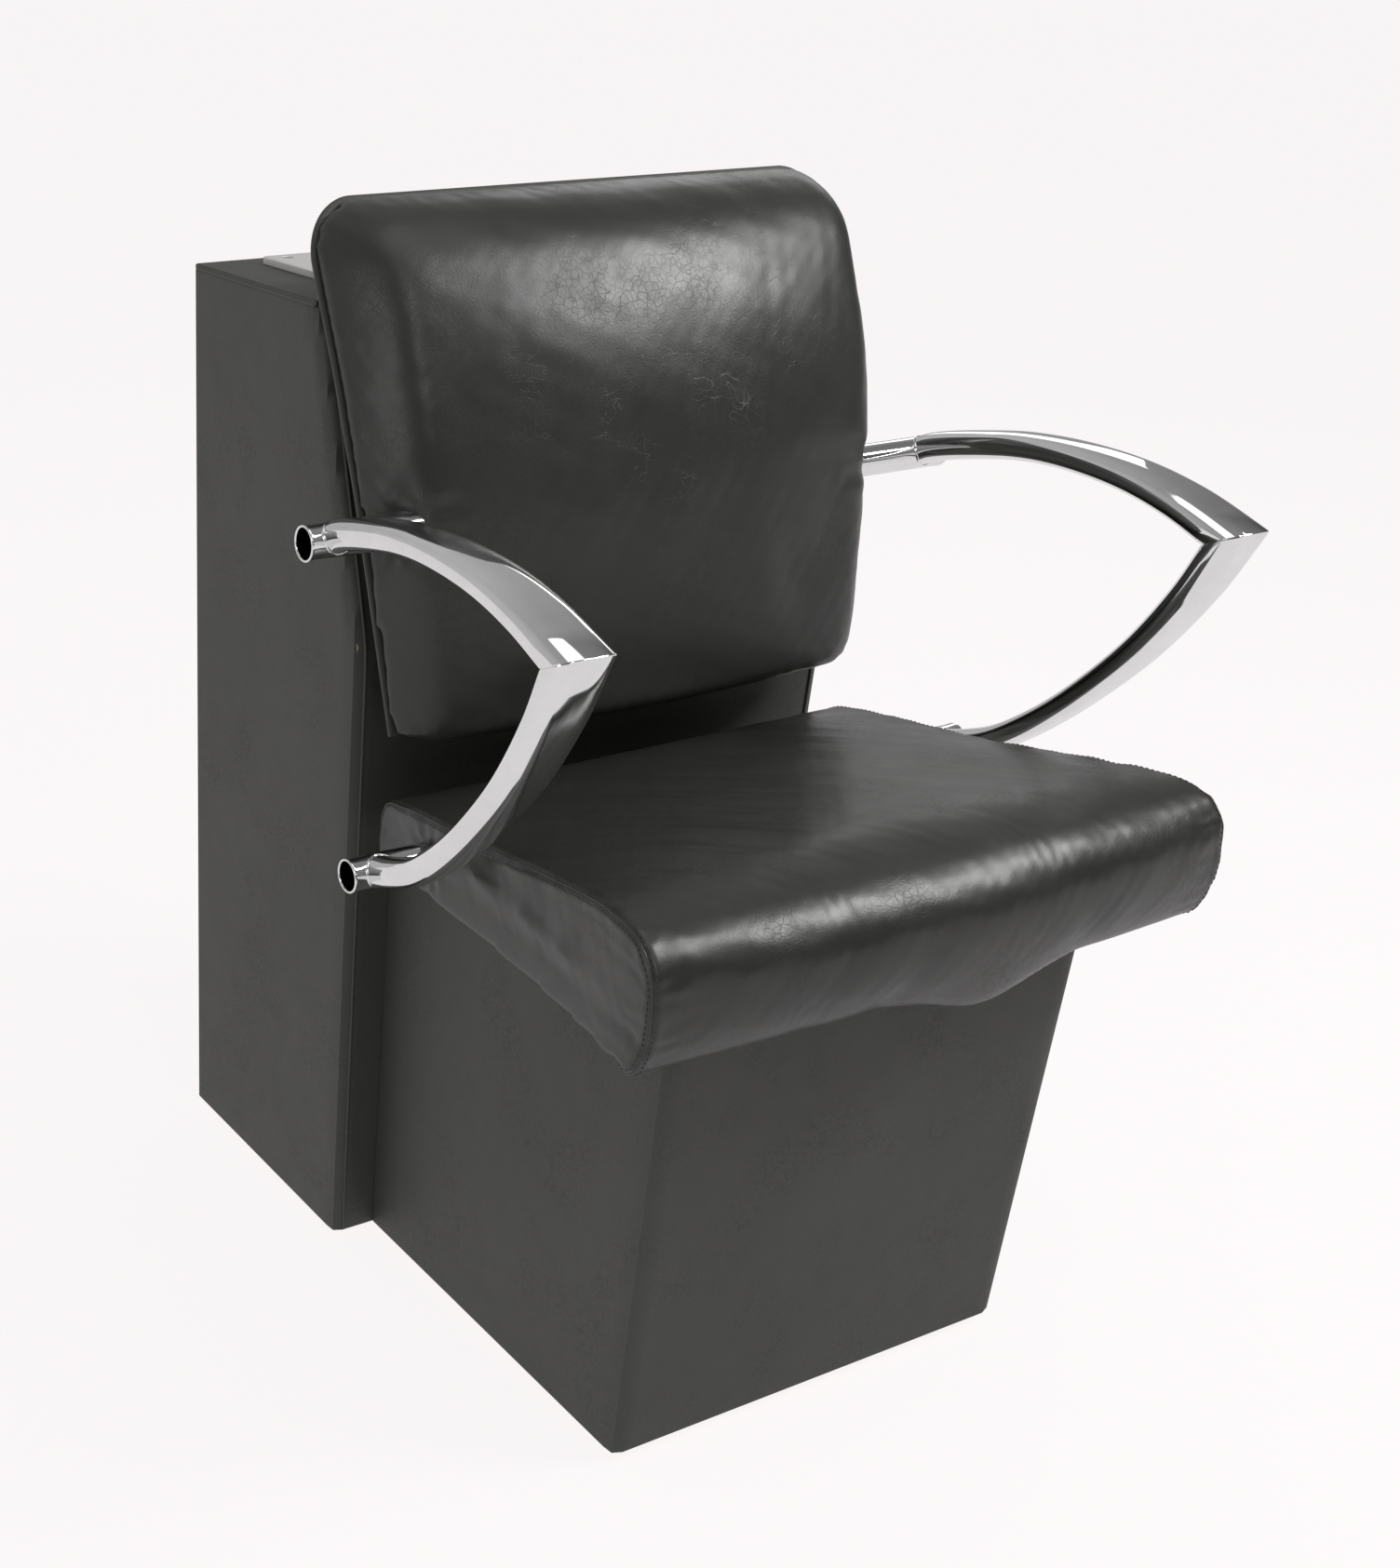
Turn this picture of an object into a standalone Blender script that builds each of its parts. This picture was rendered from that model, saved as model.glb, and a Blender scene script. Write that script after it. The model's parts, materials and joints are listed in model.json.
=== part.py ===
"""Salon dryer chair: vinyl-covered box base, upholstered seat and reclined back,
chrome tube arms, and a tall rear cabinet with a steel plate on top for a hood dryer's post.

Units are metres, +Z up, the sitter faces -Y.  Left is -X and right is +X, as seen from
in front of the chair.  The origin is on the floor, under the centre of the chair's
bounding box; the dimensions below use a Y zero of their own, and everything is moved
on to the origin at the end.
"""
import math

import bmesh
import bpy
import numpy as np
from mathutils import Vector

for old in list(bpy.data.objects):
    bpy.data.objects.remove(old, do_unlink=True)

# ------------------------------------------------------------------ driving dimensions
GAP = 0.0005            # assembly clearance between neighbouring pieces
PLY = 0.015             # plywood of the two boxes
SKIN = 0.003            # vinyl with its thin foam backing, on the boxes
VINYL = 0.002           # vinyl of the cushions
BOX_BOTTOM = 0.009      # underside of both boxes above the floor
CORNER_R = 0.008        # front corners of the boxes' vinyl, in plan

BASE_HALF_W = 0.2058    # box under the seat
BASE_FRONT = -0.2770
BASE_TOP = 0.4005

CAB_HALF_W = 0.2476     # rear cabinet, outside half width
CAB_FRONT = 0.0900      # cabinet front below the knee of its front
CAB_REAR = 0.3650
CAB_TOP = 0.8200
CAB_KNEE = 0.5700       # above this height the cabinet's front leans back
CAB_LEAN = 0.300        # metres of lean per metre of height

SEAT_REAR = 0.0620      # back edge of the seat cushion
PAN_BOTTOM = BASE_TOP   # underside of the seat's plywood pan
PAN_REBATE_Z = 0.4057   # underside of the pan's edges, where the vinyl is turned in
PAN_TOP = 0.4227
PAN_FRONT = -0.300
PAN_REAR = SEAT_REAR - 0.0160

BACK_HALF_W = 0.2510    # outer back panel
BACK_LOW = 0.5080
BACK_HIGH = 0.8890
BACK_PANEL_T = 0.0090
BACK_CORNER_R = 0.045

SLEEVE_R = 0.0133       # round sleeves that the arms' tubes are welded on to
SLEEVE_WALL = 0.0018
SLEEVE_MOUTH = 0.3150   # |x| of their open outer ends
UPPER_AXIS = (0.0600, 0.6710)     # (y, z) of the sleeve on the back's side
LOWER_AXIS = (-0.0180, 0.4340)    # and of the one on the seat's side

SIDES = (("left", -1), ("right", 1))
UP, REARWARD, FORWARD = (0, 0, 1), (0, 1, 0), (0, -1, 0)

# ------------------------------------------------------------------ materials
FINISHES = {
    "vinyl": dict(color=(0.030, 0.031, 0.029), roughness=0.42),
    "box_vinyl": dict(color=(0.040, 0.041, 0.039), roughness=0.55),
    "plywood": dict(color=(0.52, 0.36, 0.20), roughness=0.70),
    "hardwood": dict(color=(0.45, 0.29, 0.15), roughness=0.65),
    "foam": dict(color=(0.72, 0.66, 0.42), roughness=0.95),
    "chrome": dict(color=(0.86, 0.87, 0.88), roughness=0.06, metallic=1.0),
    "zinc": dict(color=(0.62, 0.62, 0.60), roughness=0.38, metallic=1.0),
    "plate": dict(color=(0.60, 0.60, 0.62), roughness=0.32, metallic=1.0),
    "rubber": dict(color=(0.015, 0.015, 0.015), roughness=0.75),
    "glide": dict(color=(0.012, 0.012, 0.012), roughness=0.5),
}


def make_material(name, color, roughness, metallic=0.0):
    material = bpy.data.materials.new(name)
    material.use_nodes = True
    inputs = material.node_tree.nodes["Principled BSDF"].inputs
    inputs["Base Color"].default_value = (*color, 1.0)
    inputs["Roughness"].default_value = roughness
    inputs["Metallic"].default_value = metallic
    material.diffuse_color = (*color, 1.0)
    return material


# ------------------------------------------------------------------ solids
def add(name, verts, faces, finish, smooth=False):
    """Object with outward normals and a material of its own, named after it."""
    mesh = bpy.data.meshes.new(name)
    mesh.from_pydata([tuple(float(c) for c in v) for v in verts], [], faces)
    bm = bmesh.new()
    bm.from_mesh(mesh)
    bmesh.ops.recalc_face_normals(bm, faces=bm.faces[:])
    if bm.calc_volume(signed=True) < 0:
        bmesh.ops.reverse_faces(bm, faces=bm.faces[:])
    bm.to_mesh(mesh)
    bm.free()
    if smooth:
        mesh.shade_smooth()
        mesh.set_sharp_from_angle(angle=math.radians(38))
    ob = bpy.data.objects.new(name, mesh)
    bpy.context.scene.collection.objects.link(ob)
    mesh.materials.append(make_material(name, **FINISHES[finish]))
    return ob


def loft(name, rings, finish, smooth=False):
    """Closed solid through equal loops, with flat ends."""
    n = len(rings[0])
    verts = [p for ring in rings for p in ring]
    faces = []
    for k in range(len(rings) - 1):
        for i in range(n):
            j = (i + 1) % n
            faces.append((k * n + i, k * n + j, (k + 1) * n + j, (k + 1) * n + i))
    faces.append(tuple(range(n)))
    faces.append(tuple(range(len(verts) - n, len(verts)))[::-1])
    return add(name, verts, faces, finish, smooth)


def rectangle(x0, x1, y0, y1, z):
    return [(x0, y0, z), (x1, y0, z), (x1, y1, z), (x0, y1, z)]


def block(name, x0, x1, y0, y1, z0, z1, finish):
    """A box between two corners."""
    return loft(name, [rectangle(x0, x1, y0, y1, z) for z in (z0, z1)], finish)


def eased_slab(name, half_w, y0, y1, z0, z1, finish, ease=0.001):
    """A flat slab whose upper edges are eased."""
    rings = [rectangle(-half_w + e, half_w - e, y0 + e, y1 - e, z)
             for z, e in ((z0, 0.0), (z1 - ease, 0.0), (z1, ease))]
    return loft(name, rings, finish)


def profile_board(name, outline, x0, x1, finish):
    """A board cut to a (y, z) outline, between two x planes."""
    return loft(name, [[(x, y, z) for y, z in outline] for x in (x0, x1)], finish)


def pipe(name, outer, inner, finish):
    """Open-ended hollow tube: outer and inner loops joined at both ends."""
    n, m = len(outer[0]), len(outer)
    verts = [p for ring in outer + inner for p in ring]
    o = n * m
    faces = []
    for k in range(m - 1):
        for i in range(n):
            j = (i + 1) % n
            a, b, c, d = k * n + i, k * n + j, (k + 1) * n + j, (k + 1) * n + i
            faces.append((a, b, c, d))
            faces.append((o + a, o + d, o + c, o + b))
    for k in (0, m - 1):
        for i in range(n):
            j = (i + 1) % n
            faces.append((k * n + i, k * n + j, o + k * n + j, o + k * n + i))
    return add(name, verts, faces, finish, smooth=True)


def lathe(name, profile, centre, axis, finish, segments=16):
    """Solid turned from (radius, height) points whose first and last radius are zero,
    or a closed ring when no radius is zero."""
    axis = Vector(axis).normalized()
    side = axis.orthogonal().normalized()
    other = axis.cross(side)
    centre = Vector(centre)
    verts, loops = [], []
    for radius, height in profile:
        middle = centre + axis * height
        if radius < 1e-9:
            loops.append([len(verts)])
            verts.append(middle)
            continue
        loops.append(list(range(len(verts), len(verts) + segments)))
        for k in range(segments):
            a = 2 * math.pi * k / segments
            verts.append(middle + side * (radius * math.cos(a)) + other * (radius * math.sin(a)))
    is_ring = profile[0][0] > 1e-9
    faces = []
    for q in range(len(profile) if is_ring else len(profile) - 1):
        low, high = loops[q], loops[(q + 1) % len(profile)]
        for k in range(segments):
            j = (k + 1) % segments
            if len(low) == 1:
                faces.append((low[0], high[k], high[j]))
            elif len(high) == 1:
                faces.append((low[k], high[0], low[j]))
            else:
                faces.append((low[k], high[k], high[j], low[j]))
    return add(name, verts, faces, finish, smooth=True)


def shell(name, outer, inner, finish):
    """Closed body between two equal grids of points, joined round their edges."""
    ni, nj = outer.shape[:2]
    verts = [*outer.reshape(-1, 3), *inner.reshape(-1, 3)]
    o = ni * nj
    faces = []
    for i in range(ni - 1):
        for j in range(nj - 1):
            a, b, c, d = i * nj + j, i * nj + j + 1, (i + 1) * nj + j + 1, (i + 1) * nj + j
            faces.append((a, b, c, d))
            faces.append((o + a, o + d, o + c, o + b))
    edge = [(0, j) for j in range(nj)]
    edge += [(i, nj - 1) for i in range(1, ni)]
    edge += [(ni - 1, j) for j in range(nj - 2, -1, -1)]
    edge += [(i, 0) for i in range(ni - 2, 0, -1)]
    rim = [i * nj + j for i, j in edge]
    for a, b in zip(rim, rim[1:] + rim[:1]):
        faces.append((a, b, o + b, o + a))
    return add(name, verts, faces, finish, smooth=True)


# ------------------------------------------------------------------ cutters
def cut(tool, *hosts):
    """Turn a body into a hidden cutter and subtract it from each host."""
    tool.hide_render = True
    tool.display_type = 'WIRE'
    for host in hosts:
        modifier = host.modifiers.new("cut_" + tool.name, 'BOOLEAN')
        modifier.operation = 'DIFFERENCE'
        modifier.solver = 'EXACT'
        modifier.object = tool


def drill(name, radius, length, start, axis, hosts, segments=12):
    """Cut a round hole that runs from its start along the axis."""
    profile = [(0, 0), (radius, 0), (radius, length), (0, length)]
    cut(lathe(name, profile, start, axis, "zinc", segments), *hosts)


# ------------------------------------------------------------------ layout and curves
def mirrored(side, near, far):
    """Ascending x of a span that lies between two distances from the middle plane."""
    return sorted((side * near, side * far))


def corners(half_w, low, high):
    """Four places going round from the left low one: (x, y) or (x, z)."""
    return (-half_w, low), (half_w, low), (half_w, high), (-half_w, high)


def crowded_across(n):
    """n shares from -1 to 1 that crowd towards both ends."""
    return np.sin(np.linspace(-math.pi / 2, math.pi / 2, n))


def crowded_along(n):
    """n shares from 0 to 1 that crowd towards both ends."""
    return 0.5 - 0.5 * np.cos(np.linspace(0, math.pi, n))


def lookup(table, at):
    """Second column of a table, read by its first."""
    return np.interp(at, *np.array(table).T)


def sample(at, stations, points):
    """Points along a polyline, read by the station of each of its vertices."""
    return np.stack([np.interp(at, stations, column) for column in points.T], -1)


def running_total(steps):
    return np.concatenate([[0], np.cumsum(steps)])


def arc_length(points):
    return running_total(np.linalg.norm(np.diff(points, axis=0), axis=1))


def unit(vector):
    return vector / np.linalg.norm(vector)


def spline(points):
    """Catmull-Rom curve through the points, 24 samples to each span."""
    P = np.array(points, float)
    P = np.vstack([2 * P[0] - P[1], P, 2 * P[-1] - P[-2]])
    curve = []
    for a, b, c, d in zip(P, P[1:], P[2:], P[3:]):
        for t in np.linspace(0, 1, 24, endpoint=False):
            curve.append(0.5 * ((2 * b) + (c - a) * t + (2 * a - 5 * b + 4 * c - d) * t ** 2
                                + (-a + 3 * b - 3 * c + d) * t ** 3))
    curve.append(P[-2])
    return np.array(curve)


def smooth_path(points, n=160):
    """The curve through the points, n samples evenly spaced along it."""
    curve = spline(points)
    run = arc_length(curve)
    return sample(np.linspace(0, run[-1], n), run, curve)


def crowded_stops(points, n, turn_length):
    """Positions among a curve's samples that crowd into its bends: each radian of turn
    counts as turn_length of travel."""
    curve = spline(points)
    step = np.diff(curve, axis=0)
    heading = np.unwrap(np.arctan2(step[:, 1], step[:, 0]))
    turned = running_total(np.abs(np.diff(heading)))
    travel = arc_length(curve) + turn_length * np.append(turned, turned[-1])
    return np.interp(np.linspace(0, travel[-1], n), travel, np.arange(len(travel)))


# ------------------------------------------------------------------ vinyl round the boxes
def wrap_loop(half_w, front, rear, segments=4):
    """Plan outline of a covering wrapped round three sides of a box: outer path from the
    rear left, round both front corners, then back along the inside."""
    r = CORNER_R
    angles = [math.pi / 2 * k / segments for k in range(segments + 1)]
    inside = half_w - SKIN
    loop = [(-half_w, rear)]
    loop += [(-half_w + r - r * math.cos(a), front + r - r * math.sin(a)) for a in angles]
    loop += [(half_w - r + r * math.sin(a), front + r - r * math.cos(a)) for a in angles]
    loop += [(half_w, rear), (inside, rear), (inside, front + SKIN),
             (-inside, front + SKIN), (-inside, rear)]
    return loop


def wrap_cover(name, half_w, rear, stations):
    """Vinyl round a box's front and sides, through (front y, z) stations."""
    rings = [[(x, y, z) for x, y in wrap_loop(half_w, front, rear)] for front, z in stations]
    loft(name, rings, "box_vinyl")


# ------------------------------------------------------------------ box base
BASE_BOARD_HALF_W = BASE_HALF_W - SKIN - GAP
BASE_BOARD_FRONT = BASE_FRONT + SKIN + GAP
BASE_BOARD_REAR = CAB_FRONT - GAP               # the base butts against the cabinet
DECK_TOP = BASE_TOP - GAP
BASE_INSIDE_HALF_W = BASE_BOARD_HALF_W - PLY - GAP


def build_base():
    """Plywood box and its vinyl; returns the deck and the bottom panel."""
    half_w, inside = BASE_BOARD_HALF_W, BASE_INSIDE_HALF_W
    front, rear = BASE_BOARD_FRONT, BASE_BOARD_REAR
    wall_top = DECK_TOP - PLY - GAP
    for side_name, side in SIDES:
        block("base_%s_panel" % side_name, *mirrored(side, half_w - PLY, half_w),
              front, rear, BOX_BOTTOM, wall_top, "plywood")
    block("base_front_panel", -inside, inside, front, front + PLY, BOX_BOTTOM, wall_top, "plywood")
    wrap_cover("base_vinyl_cover", BASE_HALF_W, rear,
               [(BASE_FRONT, BOX_BOTTOM), (BASE_FRONT, DECK_TOP)])
    deck = block("base_top_deck", -half_w, half_w, front, rear, DECK_TOP - PLY, DECK_TOP, "plywood")
    bottom = block("base_bottom_panel", -inside, inside, front + PLY + GAP, rear,
                   BOX_BOTTOM, BOX_BOTTOM + PLY, "plywood")
    return deck, bottom


# ------------------------------------------------------------------ rear cabinet
CAB_BOARD_HALF_W = CAB_HALF_W - SKIN - GAP
CAB_INSIDE_HALF_W = CAB_BOARD_HALF_W - PLY - GAP
CAB_BOARD_TOP = CAB_TOP - SKIN - GAP
CAB_INSIDE_REAR = CAB_REAR - PLY - GAP
CAB_BOARD_SETBACK = SKIN + 0.0006       # front skin and its clearance, along y


def cab_front(z):
    return CAB_FRONT + max(0.0, z - CAB_KNEE) * CAB_LEAN


def cab_board_front(z):
    return cab_front(z) + CAB_BOARD_SETBACK


def build_cabinet_front_and_sides():
    inside = CAB_INSIDE_HALF_W
    low_front = cab_board_front(BOX_BOTTOM)
    side_outline = [(low_front, BOX_BOTTOM), (CAB_REAR, BOX_BOTTOM), (CAB_REAR, CAB_BOARD_TOP),
                    (cab_board_front(CAB_BOARD_TOP), CAB_BOARD_TOP), (low_front, CAB_KNEE)]
    for side_name, side in SIDES:
        profile_board("cabinet_%s_panel" % side_name, side_outline,
                      *mirrored(side, CAB_BOARD_HALF_W - PLY, CAB_BOARD_HALF_W), "plywood")
    block("cabinet_front_lower_panel", -inside, inside, low_front, low_front + PLY,
          BOX_BOTTOM, CAB_KNEE - 0.002, "plywood")
    high = CAB_BOARD_TOP - PLY - GAP
    high_front = cab_board_front(high)
    profile_board("cabinet_front_upper_panel",
                  [(low_front, CAB_KNEE), (low_front + PLY, CAB_KNEE),
                   (high_front + PLY, high), (high_front, high)],
                  -inside, inside, "plywood")


def build_cabinet_top():
    under = CAB_BOARD_TOP - PLY
    outline = [(cab_board_front(under), under), (CAB_INSIDE_REAR, under),
               (CAB_INSIDE_REAR, CAB_BOARD_TOP), (cab_board_front(CAB_BOARD_TOP), CAB_BOARD_TOP)]
    return profile_board("cabinet_top_panel", outline,
                         -CAB_INSIDE_HALF_W, CAB_INSIDE_HALF_W, "plywood")


def build_cabinet_bottom():
    return block("cabinet_bottom_panel", -CAB_INSIDE_HALF_W, CAB_INSIDE_HALF_W,
                 cab_board_front(BOX_BOTTOM) + PLY + GAP, CAB_INSIDE_REAR,
                 BOX_BOTTOM, BOX_BOTTOM + PLY, "plywood")


def build_cabinet_vinyl():
    """Vinyl round the front and sides; returns the lid of vinyl on the top."""
    heights = (BOX_BOTTOM, CAB_KNEE - 0.02, CAB_KNEE, CAB_KNEE + 0.02, CAB_BOARD_TOP)
    wrap_cover("cabinet_vinyl_cover", CAB_HALF_W, CAB_REAR, [(cab_front(z), z) for z in heights])
    return eased_slab("cabinet_top_cover", CAB_HALF_W, cab_front(CAB_TOP), CAB_REAR,
                      CAB_BOARD_TOP + 0.0004, CAB_TOP, "box_vinyl")


# ------------------------------------------------------------------ dryer's plate
PLATE_HALF_W = 0.2000           # steel plate that the dryer's post is bolted to
PLATE_FRONT, PLATE_REAR = 0.2050, 0.3350
PLATE_T = 0.0060
PLATE_BOTTOM = CAB_TOP + 0.0003
PLATE_TOP = PLATE_BOTTOM + PLATE_T
CABLE_HOLE_R = 0.018
POST_BOLT_R = 0.0045
POST_BOLT_OFFSET = 0.040        # of the post's bolts from the cable hole, in x and in y
PLATE_SCREW_INSET = 0.015       # of the plate's screws from its ends
PLATE_SCREW_OFFSET_Y = 0.050    # and from its middle


def build_plate(cab_top, top_cover):
    """Plate on the cabinet's top, with a cable hole, four bolt holes and four screws."""
    plate = eased_slab("dryer_mount_plate", PLATE_HALF_W, PLATE_FRONT, PLATE_REAR,
                       PLATE_BOTTOM, PLATE_TOP, "plate")
    mid_y = 0.5 * (PLATE_FRONT + PLATE_REAR)

    def drill_stack(name, radius, x, y, segments=12):
        drill(name, radius, 0.06, (x, y, CAB_BOARD_TOP - 0.03), UP,
              (plate, top_cover, cab_top), segments)

    drill_stack("cut_cable", CABLE_HOLE_R, 0, mid_y, segments=16)
    bolts = corners(POST_BOLT_OFFSET, mid_y - POST_BOLT_OFFSET, mid_y + POST_BOLT_OFFSET)
    screws = corners(PLATE_HALF_W - PLATE_SCREW_INSET,
                     mid_y - PLATE_SCREW_OFFSET_Y, mid_y + PLATE_SCREW_OFFSET_Y)
    head = PLATE_TOP - 0.0002
    tip = CAB_BOARD_TOP - 0.013
    for k, (bolt, screw) in enumerate(zip(bolts, screws), 1):
        drill_stack("cut_post_bolt_%d" % k, POST_BOLT_R, *bolt)
        drill_stack("cut_plate_screw_%d" % k, 0.0023, *screw)
        # countersunk, so that nothing stands above the face the dryer's post lies on
        sink = lathe("cut_plate_countersink_%d" % k,
                     [(0, PLATE_TOP - 0.0033), (0.0020, PLATE_TOP - 0.0033), (0.0053, PLATE_TOP),
                      (0.0053, PLATE_TOP + 0.0020), (0, PLATE_TOP + 0.0020)],
                     (*screw, 0), UP, "zinc")
        cut(sink, plate)
        lathe("mount_plate_screw_%d" % k,
              [(0, tip), (0.0019, tip), (0.0019, head - 0.0027), (0.0046, head), (0, head)],
              (*screw, 0), UP, "zinc")


# ------------------------------------------------------------------ rear access panel
REAR_SCREW_X = 0.19
REAR_SCREW_LOW = BOX_BOTTOM + PLY / 2       # into the edge of the bottom panel
REAR_SCREW_HIGH = CAB_BOARD_TOP - PLY / 2   # into the edge of the top panel
CORD_HOLE_R = 0.0150
CORD_Z = 0.120


def build_rear_panel(cab_top, cab_bottom):
    """Panel held by four screws, with a grommet in its cord hole."""
    panel = block("cabinet_rear_panel", -CAB_INSIDE_HALF_W, CAB_INSIDE_HALF_W,
                  CAB_REAR - PLY, CAB_REAR, BOX_BOTTOM, CAB_BOARD_TOP, "plywood")
    for k, (x, z) in enumerate(corners(REAR_SCREW_X, REAR_SCREW_LOW, REAR_SCREW_HIGH), 1):
        behind = cab_bottom if z < CAB_KNEE else cab_top
        drill("cut_rear_screw_%d" % k, 0.0022, 0.045, (x, CAB_REAR + 0.005, z), FORWARD,
              (panel, behind))
        lathe("rear_panel_screw_%d" % k,
              [(0, -0.034), (0.0018, -0.034), (0.0018, 0.0003), (0.0042, 0.0003),
               (0.0038, 0.0016), (0.0020, 0.0023), (0, 0.0025)],
              (x, CAB_REAR, z), REARWARD, "zinc", 12)
    drill("cut_cord", CORD_HOLE_R, 0.04, (0, CAB_REAR + 0.01, CORD_Z), FORWARD, (panel,), 24)
    lathe("cord_grommet",
          [(0.0100, -0.0180), (0.0185, -0.0180), (0.0185, -0.0155), (0.0146, -0.0155),
           (0.0146, 0.0005), (0.0185, 0.0005), (0.0175, 0.0030), (0.0100, 0.0030)],
          (0, CAB_REAR, CORD_Z), REARWARD, "rubber", 24)


# ------------------------------------------------------------------ seat surface
# plan of the seat: (y, half width)
SEAT_PLAN = (
    (-0.360, 0.2730), (-0.330, 0.2720), (-0.290, 0.2680), (-0.240, 0.2585),
    (-0.160, 0.2500), (-0.100, 0.2455), (0.000, 0.2405), (0.062, 0.2361),
)
# lobe hanging below the seat's front: its drop, its middle and spread in x, and the
# nominal half width that turns a share of the width into x
LOBE_DROP, LOBE_X, LOBE_SPREAD, LOBE_HALF_W = 0.021, 0.040, 0.056, 0.27
SEAT_COVER_MARGIN = 0.0026      # top cover's edges inside the gussets' outer faces
SEAT_FOAM_CLEARANCE = 0.0024    # between the top cover and the foam


def seat_half_w(y):
    """Half width of the seat: it narrows towards the rear."""
    return float(lookup(SEAT_PLAN, y))


def seat_line(q):
    """(y, z) of the seat's outer surface at a share q of its half width: from under the
    rear, over the top, round the waterfall front and under again.  It is crowned across
    its width, and the front hangs lower in a soft lobe near the middle."""
    c = max(0.0, 1.0 - q * q)
    d = LOBE_DROP * math.exp(-((q * LOBE_HALF_W - LOBE_X) / LOBE_SPREAD) ** 2)
    r = SEAT_REAR
    return [
        (r - 0.026, 0.4030), (r - 0.012, 0.4033), (r - 0.0035, 0.4090), (r, 0.4240),
        (r - 0.0005, 0.4400), (r - 0.007, 0.4525), (r - 0.022, 0.4580),
        (0.000, 0.4650 + 0.012 * c), (-0.060, 0.4720 + 0.015 * c),
        (-0.120, 0.4800 + 0.016 * c), (-0.180, 0.4900 + 0.014 * c),
        (-0.235, 0.4990 + 0.011 * c), (-0.272, 0.5030 + 0.008 * c),
        (-0.306 - 0.008 * c, 0.4985 + 0.002 * c), (-0.325 - 0.014 * c, 0.4800),
        (-0.330 - 0.017 * c, 0.4550), (-0.329 - 0.014 * c, 0.4290 - 0.4 * d),
        (-0.320 - 0.010 * c, 0.4050 - d), (-0.309 - 0.004 * c, 0.3990 - 0.8 * d),
        (-0.296, 0.4015 - 0.25 * d), (-0.284, 0.4028),
    ]


SEAT_STOPS = crowded_stops(seat_line(0.6), 32, turn_length=0.05)
SEAT_SHARES = crowded_across(13)        # shares of the half width, left to right


def seat_section(q):
    curve = spline(seat_line(q))
    return sample(SEAT_STOPS, np.arange(len(curve)), curve)


def seat_grid():
    """Points of the top cover's outer face, and their outward normals."""
    grid = np.array([[(q * (seat_half_w(y) - SEAT_COVER_MARGIN), y, z)
                      for y, z in seat_section(q)] for q in SEAT_SHARES])
    normals = np.cross(np.gradient(grid, axis=1), np.gradient(grid, axis=0))
    lengths = np.linalg.norm(normals, axis=2, keepdims=True)
    return grid, normals / np.maximum(lengths, 1e-12)


# ------------------------------------------------------------------ seat pieces
def outline_heights(outline, y):
    """Lowest and highest z at which a closed (y, z) outline crosses y."""
    hits = []
    for p, r in zip(outline, np.roll(outline, -1, axis=0)):
        if (p[0] - y) * (r[0] - y) <= 0 and abs(p[0] - r[0]) > 1e-9:
            hits.append(p[1] + (r[1] - p[1]) * (y - p[0]) / (r[0] - p[0]))
    return min(hits), max(hits)


def build_gussets():
    """Side panels cut to the seat's side outline and bent to its plan; left, then right."""
    outline = seat_section(1.0)
    front, rear = outline[:, 0].min() + 0.0004, outline[:, 0].max() - 0.0004
    stations = []
    for y in front + (rear - front) * crowded_along(20):
        low, high = outline_heights(outline, y)
        stations.append((y, low + 0.0002, high - 0.0002))
    gussets = []
    for side_name, side in SIDES:
        outer = np.array([[(side * seat_half_w(y), y, z0 + (z1 - z0) * t) for t in (0.0, 0.5, 1.0)]
                          for y, z0, z1 in stations])
        inner = outer - np.array((side * VINYL, 0.0, 0.0))
        gussets.append(shell("seat_%s_gusset" % side_name, outer, inner, "vinyl"))
    return gussets


def build_pan():
    """Tapered board whose front and rear edges are rebated for the turned-in vinyl."""
    front_step, rear_step = PAN_FRONT + 0.020, PAN_REAR - 0.014
    outline = [(PAN_FRONT, PAN_REBATE_Z), (front_step, PAN_REBATE_Z), (front_step, PAN_BOTTOM),
               (rear_step, PAN_BOTTOM), (rear_step, PAN_REBATE_Z), (PAN_REAR, PAN_REBATE_Z),
               (PAN_REAR, PAN_TOP), (PAN_FRONT, PAN_TOP)]
    front_w, rear_w = (seat_half_w(y) - 0.0100 for y in (PAN_FRONT, PAN_REAR))
    taper = (rear_w - front_w) / (PAN_REAR - PAN_FRONT)
    rings = [[(side * (front_w + taper * (y - PAN_FRONT)), y, z) for y, z in outline]
             for side in (-1, 1)]
    return loft("seat_pan", rings, "plywood")


def warp_plan(ob, stations, half_w_at, straight_half_w):
    """Bend a straight-sided body to a plan curve.  It is first divided at the y
    stations so that its ends can follow."""
    bm = bmesh.new()
    bm.from_mesh(ob.data)
    for y in stations:
        bmesh.ops.bisect_plane(bm, geom=bm.verts[:] + bm.edges[:] + bm.faces[:], dist=1e-6,
                               plane_co=(0.0, y, 0.0), plane_no=(0.0, 1.0, 0.0))
    for v in bm.verts:
        v.co.x *= half_w_at(v.co.y) / straight_half_w
    bm.to_mesh(ob.data)
    bm.free()


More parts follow.
